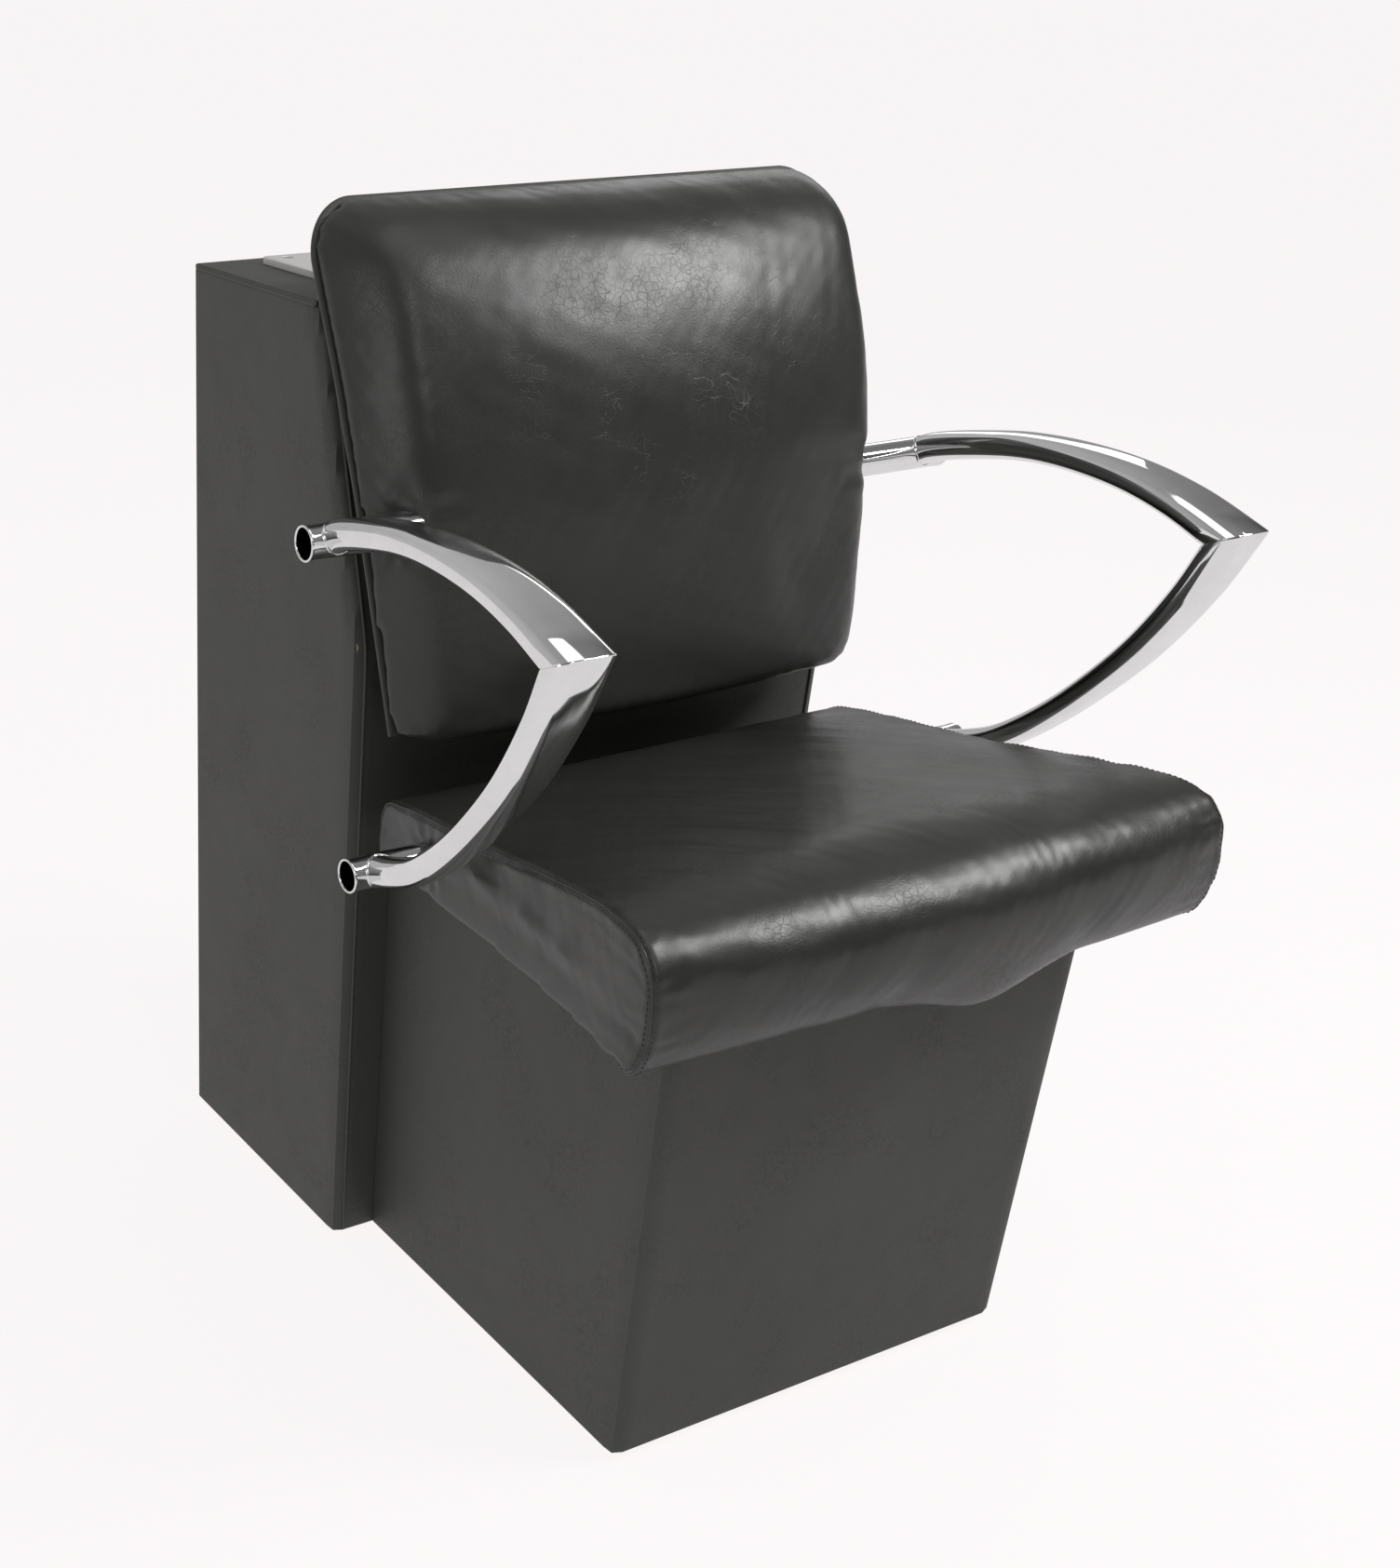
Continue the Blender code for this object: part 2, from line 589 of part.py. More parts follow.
def build_seat_foam(grid, normals):
    """Foam between the top cover and the pan, reaching down over the pan's ends."""
    surface = grid - normals * (VINYL + SEAT_FOAM_CLEARANCE)
    # the stretch of every section that is clear of the pan's rear and front ends
    first = max(next(k for k, (x, y, z) in enumerate(line) if z > 0.4100 and y > PAN_REAR + 0.003)
                for line in surface)
    last = min(max(k for k, (x, y, z) in enumerate(line) if y < PAN_FRONT - 0.0040)
               for line in surface)
    front, rear, bed = PAN_FRONT - 0.0008, PAN_REAR + 0.0008, PAN_TOP + 0.0005
    over_pan = [(front, 0.4100), (front, bed), (rear, bed), (rear, 0.4120)]
    straight_half_w = 0.25
    rings = []
    for q, line in zip(SEAT_SHARES, surface):
        loop = [(y, z) for x, y, z in line[first:last + 1]] + over_pan
        rings.append([(q * straight_half_w, y, z) for y, z in loop])
    foam = loft("seat_foam", rings, "foam", smooth=True)
    warp_plan(foam, (-0.310, -0.275, -0.240, -0.200, -0.160, -0.100, -0.045, 0.010, 0.040),
              lambda y: seat_half_w(y) - 0.0032, straight_half_w)
    return foam


SEAT_BOLT_X = 0.150
SEAT_BOLT_FRONT, SEAT_BOLT_REAR = -0.230, -0.045


def build_seat_bolts(deck, pan):
    """Four bolts up through the deck into the pan."""
    seat = DECK_TOP - PLY - 0.0003      # face of the head, just under the deck
    tip = PAN_TOP - 0.001
    for k, (x, y) in enumerate(corners(SEAT_BOLT_X, SEAT_BOLT_FRONT, SEAT_BOLT_REAR), 1):
        drill("cut_seat_bolt_%d" % k, 0.0035, 0.060, (x, y, DECK_TOP - 0.030), UP, (deck, pan))
        lathe("seat_bolt_%d" % k,
              [(0, seat - 0.0055), (0.0062, seat - 0.0055), (0.0068, seat - 0.0045),
               (0.0068, seat), (0.0031, seat), (0.0031, tip), (0, tip)],
              (x, y, 0), UP, "zinc", 12)


def build_seat(deck):
    """Whole seat; returns the foam and the gussets."""
    grid, normals = seat_grid()
    shell("seat_top_cover", grid, grid - normals * VINYL, "vinyl")
    build_seat_bolts(deck, build_pan())
    return build_seat_foam(grid, normals), build_gussets()


# ------------------------------------------------------------------ back
# rear face of the outer back panel: (z, y), leaning further back towards the top
BACK_LINE = (
    (0.470, 0.0510), (0.515, 0.0600), (0.560, 0.0700), (0.620, 0.0840), (0.690, 0.1010),
    (0.767, 0.1310), (0.822, 0.1590), (0.860, 0.1770), (0.900, 0.1960),
)
BACK_SMOOTHING = np.linspace(-0.024, 0.024, 13)     # heights averaged to round the line
BACK_CORNER_Z = BACK_HIGH - BACK_CORNER_R

# offsets forward of the outer panel's rear face
BOARD_REAR = BACK_PANEL_T + GAP
FOAM_REAR = 2 * BACK_PANEL_T + 2 * GAP + 0.0002

COVER_END, COVER_SIDE = 0.001, 0.0005   # front cover's rim inside the panel's outline
BACK_ROWS = BACK_COLUMNS = 17
BACK_FOAM_INSET = VINYL + 0.0042        # foam's face inside the cover's outer face


def back_y(z):
    return float(np.mean(lookup(BACK_LINE, z + BACK_SMOOTHING)))


def back_half_w(z):
    """Half width of the outer panel: narrower low down, with rounded top corners."""
    w = BACK_HALF_W - 0.015 * max(0.0, (0.74 - z) / 0.227) ** 1.3
    if z > BACK_CORNER_Z:
        q = min(1.0, (z - BACK_CORNER_Z) / BACK_CORNER_R)
        w -= BACK_CORNER_R * (1 - math.sqrt(max(0.0, 1 - q * q)))
    return w


def curved_board(name, inset, rear_offset, finish):
    """Board bent to the back's curve, set in from the outer panel's outline."""
    heights = list(np.linspace(BACK_LOW + inset, BACK_CORNER_Z, 10))
    heights += [BACK_CORNER_Z + (BACK_HIGH - inset - BACK_CORNER_Z) * math.sin(math.pi / 2 * k / 5)
                for k in range(1, 6)]
    rings = []
    for z in heights:
        w = back_half_w(min(z + inset, BACK_HIGH)) - inset
        rear = back_y(z) - rear_offset
        rings.append(rectangle(-w, w, rear - BACK_PANEL_T, rear, z))
    loft(name, rings, finish)


def across(t):
    """Height share of the back cushion at a share t of its half width: a shallow crown
    that turns over a soft edge into sloping sides."""
    t = abs(t)
    crown = 1.0 - 0.21 * (t / 0.86) ** 2
    slope = 0.82 * (max(0.0, 1.0 - t) / 0.14) ** 0.72
    blend = 0.075       # softness of the edge between crown and slope
    soften = blend * math.log(1 + math.exp(-abs(crown - slope) / blend))
    return max(0.0, min(crown, slope) - soften * min(1.0, slope / 0.4))


def cushion_height(s, t, inset):
    """Height of the back cushion's surface at a share s of its length, from the bottom,
    and t of its half width; thicker towards the top and closed over both ends."""
    end = ((1 - (1 - s) ** 26) * (1 - s ** 11)) ** 0.42 if 0 < s < 1 else 0.0
    return (0.043 + 0.047 * s - inset) * end * across(t)


def cover_extent(inset):
    """Lowest z and length of the cover's surface, shrunk inwards by the inset."""
    return BACK_LOW + COVER_END + inset, BACK_HIGH - BACK_LOW - 2 * COVER_END - 2 * inset


def cover_half_w(z, inset):
    return back_half_w(min(z + inset, BACK_HIGH)) - COVER_SIDE - inset


def cover_surface(inset):
    """Grid over the back's front upholstery, shrunk inwards by the inset."""
    low, length = cover_extent(inset)
    grid = np.zeros((BACK_ROWS, BACK_COLUMNS, 3))
    for i, s in enumerate(crowded_along(BACK_ROWS)):
        z = low + length * s
        w = cover_half_w(z, inset)
        # the ends of the cushion bulge down and up as they come forward
        bulge = -0.45 * max(0.0, 1 - s / 0.25) + 0.10 * max(0.0, (s - 0.7) / 0.3)
        for j, t in enumerate(crowded_across(BACK_COLUMNS)):
            h = cushion_height(s, t, inset)
            grid[i, j] = (w * t, back_y(z) - BOARD_REAR - h, z + bulge * h)
    return grid


def build_back_foam():
    """Foam that fills the cover in front of the board."""
    low, length = cover_extent(BACK_FOAM_INSET)
    front = np.zeros((BACK_ROWS, BACK_COLUMNS, 3))
    rear = np.zeros_like(front)
    for i, u in enumerate(crowded_along(BACK_ROWS)):
        z = BACK_LOW + 0.014 + (BACK_HIGH - BACK_LOW - 0.029) * u
        w = back_half_w(min(z + 0.009, BACK_HIGH)) - 0.0140
        wide = cover_half_w(z, BACK_FOAM_INSET)
        s = (z - low) / length
        rear_y = back_y(z) - FOAM_REAR
        for j, t in enumerate(crowded_across(BACK_COLUMNS)):
            h = cushion_height(s, min(1.0, abs(w * t) / wide), BACK_FOAM_INSET)
            rear[i, j] = (w * t, rear_y, z)
            front[i, j] = (w * t, min(back_y(z) - BOARD_REAR - h, rear_y - 0.0012), z)
    return shell("back_foam", front, rear, "foam")


def build_back():
    """Whole back; returns the foam and the front cover."""
    curved_board("back_outer_panel", 0.0, 0.0, "vinyl")
    curved_board("back_board", 0.0125, BOARD_REAR, "plywood")
    cover = shell("back_front_cover", cover_surface(0.0), cover_surface(VINYL), "vinyl")
    return build_back_foam(), cover


# ------------------------------------------------------------------ arm tubes
ARM_MITRE = (-0.2528, 0.6741)   # middle of the mitre at the arm's point
# centre lines in the side view, (y, z) from the sleeve's axis to the mitre
UPPER_LINE = (
    UPPER_AXIS, (0.040, 0.6800), (0.000, 0.6900), (-0.050, 0.6990), (-0.100, 0.7020),
    (-0.155, 0.6990), (-0.205, 0.6895), ARM_MITRE,
)
LOWER_LINE = (
    LOWER_AXIS, (-0.050, 0.4450), (-0.085, 0.4620), (-0.122, 0.4900), (-0.160, 0.5270),
    (-0.200, 0.5750), (-0.232, 0.6270), ARM_MITRE,
)
# flat-oval tube: (share of its length, half width across x, half depth in the side view)
ARM_OVAL = np.array((
    (0.00, 0.0130, 0.0122), (0.12, 0.0150, 0.0118), (0.45, 0.0195, 0.0104),
    (0.80, 0.0232, 0.0112), (1.00, 0.0246, 0.0126),
))
ARM_X, ARM_SPLAY = 0.2900, 0.0077   # |x| of the centre line at the sleeve; its growth to the mitre
TUBE_WALL = 0.0015
TUBE_LOOPS, TUBE_SEGMENTS = 14, 16
MITRE_GAP = 0.0002              # from each tube's end to the mitre plane
MITRE_RUN = 0.0185              # length of the tube's last stretch, up to the mitre


def end_direction(path):
    return unit(path[-1] - path[-12])


def mitre_normal(end, other_end):
    """Normal of the plane shared by two tubes, pointing along the first one's end."""
    tip = unit(end + other_end)
    normal = np.array((-tip[1], tip[0]))
    return -normal if normal @ end < 0 else normal


def tube_loops(line, other_line, side, wall):
    """Loops of a flat-oval tube, set in by the wall.  The last one lies a hair short of
    the mitre plane shared with the other tube."""
    path = smooth_path(line)
    run = arc_length(path)
    end = end_direction(path)
    normal = mitre_normal(end, end_direction(smooth_path(other_line)))
    stops = [*np.linspace(0, run[-1] - MITRE_RUN, TUBE_LOOPS - 1), run[-1]]
    loops = []
    for k, s in enumerate(stops):
        at_mitre = k == len(stops) - 1
        t = s / run[-1]
        centre = sample(s, run, path)
        ahead = end if at_mitre else unit(sample(s + 0.004, run, path)
                                          - sample(s - 0.004, run, path))
        up = np.array((-ahead[1], ahead[0]))
        half_w, half_depth = sample(t, ARM_OVAL[:, 0], ARM_OVAL[:, 1:]) - wall
        power = 2.0 / (2.0 + 0.7 * min(1.0, t / 0.3))   # round at the sleeve, squarer beyond
        loop = []
        for q in range(TUBE_SEGMENTS):
            angle = 2 * math.pi * q / TUBE_SEGMENTS
            c, s_ = math.cos(angle), math.sin(angle)
            rise = up * (half_depth * math.copysign(abs(c) ** power, c))
            if at_mitre:        # slide along the tube on to the mitre plane
                rise = rise + ahead * ((-MITRE_GAP - rise @ normal) / (ahead @ normal))
            x = ARM_X + ARM_SPLAY * t + half_w * math.copysign(abs(s_) ** power, s_)
            loop.append((side * x, *(centre + rise)))
        loops.append(loop)
    return loops


def build_arm_tube(side_name, side, level, line, other_line, axis):
    """One tube of an arm, coped to fit its sleeve."""
    tube = pipe("%s_arm_%s_tube" % (side_name, level),
                tube_loops(line, other_line, side, 0.0),
                tube_loops(line, other_line, side, TUBE_WALL), "chrome")
    drill("cut_%s_%s_cope" % (side_name, level), SLEEVE_R + 0.0004, 0.120,
          (side * 0.230, *axis), (side, 0, 0), (tube,), 32)


# ------------------------------------------------------------------ arm joints
BOLT_R, BORE_R = 0.0040, 0.0045
WEB_T = 0.0060                          # web at the sleeve's inner end
NUT_ROOM = 0.0080                       # pocket in the foam on the block's inner side
BACK_BLOCK_X = (0.170, 0.212)           # |x| of the block's inner and outer faces
BACK_BLOCK_HALF_H = 0.018
SEAT_BLOCK_X = (0.2000, 0.2368)
SEAT_BLOCK_Y = (-0.0450, 0.0100)
SEAT_BLOCK_TOP = 0.4480
SEAT_POCKET_CLEARANCE = 0.0012


def build_sleeve(name, axis, side, inner):
    """Open-mouthed round sleeve with a web at its inner end for the bolt."""
    r, bore = SLEEVE_R, SLEEVE_R - SLEEVE_WALL
    lip, hole, ease = SLEEVE_MOUTH, 0.0046, 0.0006
    lathe(name, [(hole, inner), (r - ease, inner), (r, inner + ease), (r, lip - ease),
                 (r - ease, lip), (bore + 0.0004, lip), (bore, lip - ease),
                 (bore, inner + WEB_T), (hole, inner + WEB_T)],
          (0, *axis), (side, 0, 0), "chrome", 20)


def build_arm_bolt(name, axis, side, nut, web):
    """Through bolt: nut against the block's inner face, shank, head on the sleeve's web."""
    head = web + 0.0003
    lathe(name, [(0, nut - 0.0060), (0.0062, nut - 0.0060), (0.0066, nut - 0.0052),
                 (0.0066, nut), (BOLT_R, nut), (BOLT_R, head), (0.0072, head),
                 (0.0072, head + 0.0050), (0.0062, head + 0.0062), (0.0032, head + 0.0062),
                 (0.0032, head + 0.0030), (0, head + 0.0030)],
          (0, *axis), (side, 0, 0), "zinc", 12)


def build_joint_hardware(name, axis, side, block_inner, sleeve_inner):
    build_sleeve(name + "_sleeve", axis, side, sleeve_inner)
    build_arm_bolt(name + "_bolt", axis, side, block_inner - 0.0004, sleeve_inner + WEB_T)


def build_upper_joint(side_name, side, foam, cover):
    """Block glued to the back's board; the sleeve passes through the vinyl and bears
    on the block."""
    inner, outer = BACK_BLOCK_X
    low, high = UPPER_AXIS[1] - BACK_BLOCK_HALF_H, UPPER_AXIS[1] + BACK_BLOCK_HALF_H
    low_y, high_y = back_y(low) - FOAM_REAR, back_y(high) - FOAM_REAR

    def outline(rear, front, grow):
        """Slanted (y, z) outline between two offsets forward of the foam's rear face."""
        return [(low_y - rear, low - grow), (high_y - rear, high + grow),
                (high_y - front, high + grow), (low_y - front, low - grow)]

    wood = profile_board("back_%s_arm_block" % side_name, outline(0.0008, 0.0280, 0.0),
                         *mirrored(side, inner, outer), "hardwood")
    pocket = profile_board("cut_back_pocket_%s" % side_name, outline(-0.020, 0.0290, 0.0015),
                           *mirrored(side, inner - NUT_ROOM, outer + 0.0008), "zinc")
    cut(pocket, foam)
    drill("cut_upper_bore_%s" % side_name, BORE_R, 0.060, (side * (inner - 0.010), *UPPER_AXIS),
          (side, 0, 0), (wood,))
    drill("cut_upper_way_%s" % side_name, SLEEVE_R + 0.0004, 0.080,
          (side * (outer - 0.0005), *UPPER_AXIS), (side, 0, 0), (foam, cover), 24)
    build_joint_hardware("%s_arm_upper" % side_name, UPPER_AXIS, side, inner, outer + 0.0004)


def build_lower_joint(side_name, side, foam, gusset):
    """Block on the seat's pan; the bolt passes through the gusset into the block."""
    inner, outer = SEAT_BLOCK_X
    front, rear = SEAT_BLOCK_Y
    room = SEAT_POCKET_CLEARANCE
    wood = block("seat_%s_arm_block" % side_name, *mirrored(side, inner, outer),
                 front, rear, PAN_TOP + 0.0008, SEAT_BLOCK_TOP, "hardwood")
    pocket = block("cut_seat_pocket_%s" % side_name, *mirrored(side, inner - NUT_ROOM, 0.2600),
                   front - room, rear + room, PAN_TOP - 0.010, SEAT_BLOCK_TOP + room, "zinc")
    cut(pocket, foam)
    drill("cut_lower_bore_%s" % side_name, BORE_R, 0.070, (side * (inner - 0.010), *LOWER_AXIS),
          (side, 0, 0), (wood, gusset))
    # the sleeve's end clears the gusset where the seat is widest beside it
    build_joint_hardware("%s_arm_lower" % side_name, LOWER_AXIS, side, inner,
                         seat_half_w(LOWER_AXIS[0] - SLEEVE_R) + GAP)


# ------------------------------------------------------------------ levelling glides
def build_glides(base_bottom, cab_bottom):
    # name, |x|, y, panel it is screwed into
    rows = (
        ("base_front", 0.178, BASE_FRONT + 0.030, base_bottom),
        ("base_rear", 0.178, CAB_FRONT - 0.045, base_bottom),
        ("cabinet_rear", 0.212, CAB_REAR - 0.034, cab_bottom),
    )
    for row, half_w, y, host in rows:
        for side_name, side in SIDES:
            name = "%s_%s_glide" % (row, side_name)
            drill("cut_" + name, 0.0045, 0.040, (side * half_w, y, 0.0), UP, (host,))
            glide = lathe(name, [(0, 0), (0.0105, 0), (0.0120, 0.0012), (0.0120, 0.0050),
                                 (0.0095, 0.0075), (0.0040, 0.0082), (0.0040, 0.0370), (0, 0.0370)],
                          (0, 0, 0), UP, "glide")
            glide.location = (side * half_w, y, 0.0)


# ------------------------------------------------------------------ assembly
def centre_on_origin():
    """Move everything so that the visible pieces' bounding box is centred in y."""
    solids = [ob for ob in bpy.data.objects if not ob.hide_render]
    ys = [ob.location.y + v.co.y for ob in solids for v in ob.data.vertices]
    middle = 0.5 * (min(ys) + max(ys))
    for ob in bpy.data.objects:
        ob.location.y -= middle


def build_chair():
    deck, base_bottom = build_base()
    build_cabinet_front_and_sides()
    cab_top, cab_bottom = build_cabinet_top(), build_cabinet_bottom()
    build_plate(cab_top, build_cabinet_vinyl())
    build_rear_panel(cab_top, cab_bottom)
    seat_foam, gussets = build_seat(deck)
    back_foam, back_cover = build_back()
    for (side_name, side), gusset in zip(SIDES, gussets):
        build_arm_tube(side_name, side, "upper", UPPER_LINE, LOWER_LINE, UPPER_AXIS)
        build_arm_tube(side_name, side, "lower", LOWER_LINE, UPPER_LINE, LOWER_AXIS)
        build_upper_joint(side_name, side, back_foam, back_cover)
        build_lower_joint(side_name, side, seat_foam, gusset)
    build_glides(base_bottom, cab_bottom)
    centre_on_origin()


build_chair()
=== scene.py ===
"""Salon dryer chair: sewn vinyl cushions, vinyl-wrapped boxes, polished chrome arms and
the small hardware, built round the chair's solids.

The chair stands on z = 0 and faces -Y, with the cabinet behind the seat at +Y.  Pieces
named left lie at -X.  Shapes are drawn in the design's own frame, which differs from the
loaded frame only by DESIGN_Y along y.  Lengths are in metres.
"""
import json
import math

import bmesh
import bpy
import numpy as np
from mathutils import Matrix, Vector
from mathutils.bvhtree import BVHTree
from mathutils.kdtree import KDTree

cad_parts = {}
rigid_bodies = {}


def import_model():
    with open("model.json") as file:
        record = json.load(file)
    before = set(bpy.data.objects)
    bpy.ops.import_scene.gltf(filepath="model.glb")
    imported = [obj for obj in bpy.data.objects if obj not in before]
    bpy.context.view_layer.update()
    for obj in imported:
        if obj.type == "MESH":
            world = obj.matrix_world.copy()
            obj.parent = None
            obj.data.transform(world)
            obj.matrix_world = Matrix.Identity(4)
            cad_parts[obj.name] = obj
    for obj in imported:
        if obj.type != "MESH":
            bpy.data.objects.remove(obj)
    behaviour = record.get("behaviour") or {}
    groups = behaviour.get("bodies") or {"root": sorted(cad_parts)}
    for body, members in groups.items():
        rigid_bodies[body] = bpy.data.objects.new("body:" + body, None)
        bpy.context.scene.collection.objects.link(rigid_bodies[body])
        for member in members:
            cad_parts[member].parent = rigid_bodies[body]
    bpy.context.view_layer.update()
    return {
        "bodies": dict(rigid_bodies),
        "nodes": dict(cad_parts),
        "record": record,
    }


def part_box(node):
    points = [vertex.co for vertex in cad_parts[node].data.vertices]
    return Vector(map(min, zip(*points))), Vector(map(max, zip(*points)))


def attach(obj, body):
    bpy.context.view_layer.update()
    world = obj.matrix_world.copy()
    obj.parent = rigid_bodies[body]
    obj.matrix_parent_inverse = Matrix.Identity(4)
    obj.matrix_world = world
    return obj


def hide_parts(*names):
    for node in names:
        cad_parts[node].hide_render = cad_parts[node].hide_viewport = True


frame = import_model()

BODY = "chair"
SIDES = (("left", -1), ("right", 1))

# boxes
CAB_HALF_W, CAB_FRONT, CAB_REAR, CAB_TOP = 0.2476, 0.0900, 0.3650, 0.8200
KNEE_Z, LEAN = 0.5700, 0.300            # above the knee the cabinet's front leans back
KNEE_SOFT = 0.012
BASE_HALF_W, BASE_FRONT, BASE_TOP = 0.2058, -0.2770, 0.4000
BASE_GAP = 0.0007                       # between the base wrap and the cabinet's front
BOX_BOTTOM, BOX_CORNER, SKIN = 0.0090, 0.0080, 0.0030
WRAP_TOP = CAB_TOP - SKIN - 0.0005

# seat and back
SEAT_REAR = 0.0620
BACK_HALF_W, BACK_LOW, BACK_HIGH = 0.2510, 0.5080, 0.8890
PANEL_T, BACK_CORNER = 0.0090, 0.045

# arms: places are (y, z)
UPPER_AXIS, LOWER_AXIS = (0.0600, 0.6710), (-0.0180, 0.4340)
ARM_MITRE = (-0.2528, 0.6741)
SLEEVE_R, SLEEVE_WALL, SLEEVE_MOUTH = 0.0133, 0.0018, 0.3150

DESIGN_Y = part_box("cabinet_rear_panel")[1].y - CAB_REAR
SHIFT = np.array((0.0, DESIGN_Y, 0.0))


# ------------------------------------------------------------------ shader graphs
class Graph:
    """Short ways to add nodes to a tree; an input takes either a value or a socket."""

    def __init__(self, tree):
        self.tree = tree

    def feed(self, socket, value):
        if isinstance(value, bpy.types.NodeSocket):
            self.tree.links.new(value, socket)
        else:
            socket.default_value = value

    def node(self, kind, inputs=None, **settings):
        made = self.tree.nodes.new(kind)
        for key, value in settings.items():
            setattr(made, key, value)
        for key, value in (inputs or {}).items():
            self.feed(made.inputs[key], value)
        return made

    def coords(self, scale=(1, 1, 1), turn=(0, 0, 0)):
        source = self.node("ShaderNodeTexCoord").outputs["Object"]
        return self.node("ShaderNodeMapping", {"Scale": scale, "Rotation": turn,
                                               "Vector": source}).outputs["Vector"]

    def noise(self, point, scale, detail=4.0, rough=0.55, distort=0.0):
        return self.node("ShaderNodeTexNoise", {
            "Scale": scale, "Detail": detail, "Roughness": rough, "Distortion": distort,
            "Vector": point}).outputs["Fac"]

    def voronoi(self, point, scale, feature='F1', random=1.0):
        return self.node("ShaderNodeTexVoronoi", {
            "Scale": scale, "Randomness": random, "Vector": point},
            feature=feature).outputs["Distance"]

    def bands(self, scale, inputs=None, **settings):
        """Diagonal stripes."""
        wave = self.node("ShaderNodeTexWave", {"Scale": scale, **(inputs or {})},
                         bands_direction='DIAGONAL', **settings)
        self.feed(wave.inputs["Vector"], self.coords())
        return wave.outputs["Fac"]

    def remap(self, value, span, to=(0.0, 1.0)):
        return self.node("ShaderNodeMapRange", {
            "From Min": span[0], "From Max": span[1], "To Min": to[0], "To Max": to[1],
            "Value": value}, clamp=True).outputs["Result"]

    def math(self, operation, *terms):
        return self.node("ShaderNodeMath", dict(enumerate(terms)),
                         operation=operation).outputs[0]

    def add(self, first, second):
        return self.math('ADD', first, second)

    def sub(self, first, second):
        return self.math('SUBTRACT', first, second)

    def mul(self, first, second):
        return self.math('MULTIPLY', first, second)

    def mix(self, share, first, second):
        """Blend of two colours, each an RGB tuple or a socket."""
        first, second = ((*c, 1.0) if isinstance(c, tuple) else c for c in (first, second))
        return self.node("ShaderNodeMix", {"Factor": share, 6: first, 7: second},
                         data_type='RGBA').outputs[2]

    def bump(self, height, strength, distance, under=None):
        made = self.node("ShaderNodeBump", {"Strength": strength, "Distance": distance,
                                            "Height": height})
        if under is not None:
            self.feed(made.inputs["Normal"], under)
        return made.outputs["Normal"]


class Surface(Graph):
    """A material and its Principled shader."""

    def __init__(self, name):
        self.material = bpy.data.materials.new(name)
        self.material.use_nodes = True
        super().__init__(self.material.node_tree)
        self.shader = self.tree.nodes["Principled BSDF"]

    def finish(self, color, rough, normal, **more):
        values = {"Base Color": color, "Roughness": rough, "Normal": normal, **more}
        for key, value in values.items():
            self.feed(self.shader.inputs[key], value)
        return self.material


def scaled(color, gain):
    return tuple(gain * c for c in color)


# ------------------------------------------------------------------ materials
def hairlines(mat, point, strength):
    """Mask of thin curved scuffs: level lines of stretched noise, kept to the upper
    middle of the back."""
    def level_line(scale, turn, noise, level, width):
        value = mat.noise(mat.coords(scale, turn), **noise)
        value = mat.math('ABSOLUTE', mat.sub(value, level))
        return mat.remap(value, span=(0.0, width), to=(1.0, 0.0))

    first = level_line(scale=(1.0, 1.0, 2.3), turn=(0.0, 0.5, 0.35), level=0.5, width=0.0032,
                       noise=dict(scale=16.0, detail=2.5, rough=0.5, distort=1.4))
    second = level_line(scale=(1.0, 1.0, 0.8), turn=(0.0, -0.7, 0.1), level=0.52, width=0.0025,
                        noise=dict(scale=23.0, detail=2.0, rough=0.5, distort=0.8))
    lines = mat.math('MAXIMUM', first, second)
    gate = mat.remap(mat.noise(point, scale=20.0, detail=1.0), span=(0.50, 0.60))
    centre = (0.020, 0.045 + DESIGN_Y, 0.790)
    reach = mat.node("ShaderNodeVectorMath", {0: point, 1: centre}, operation='DISTANCE')
    fade = mat.remap(reach.outputs["Value"], span=(0.05, 0.20), to=(1.0, 0.0))
    return mat.mul(mat.mul(mat.mul(lines, gate), fade), strength)


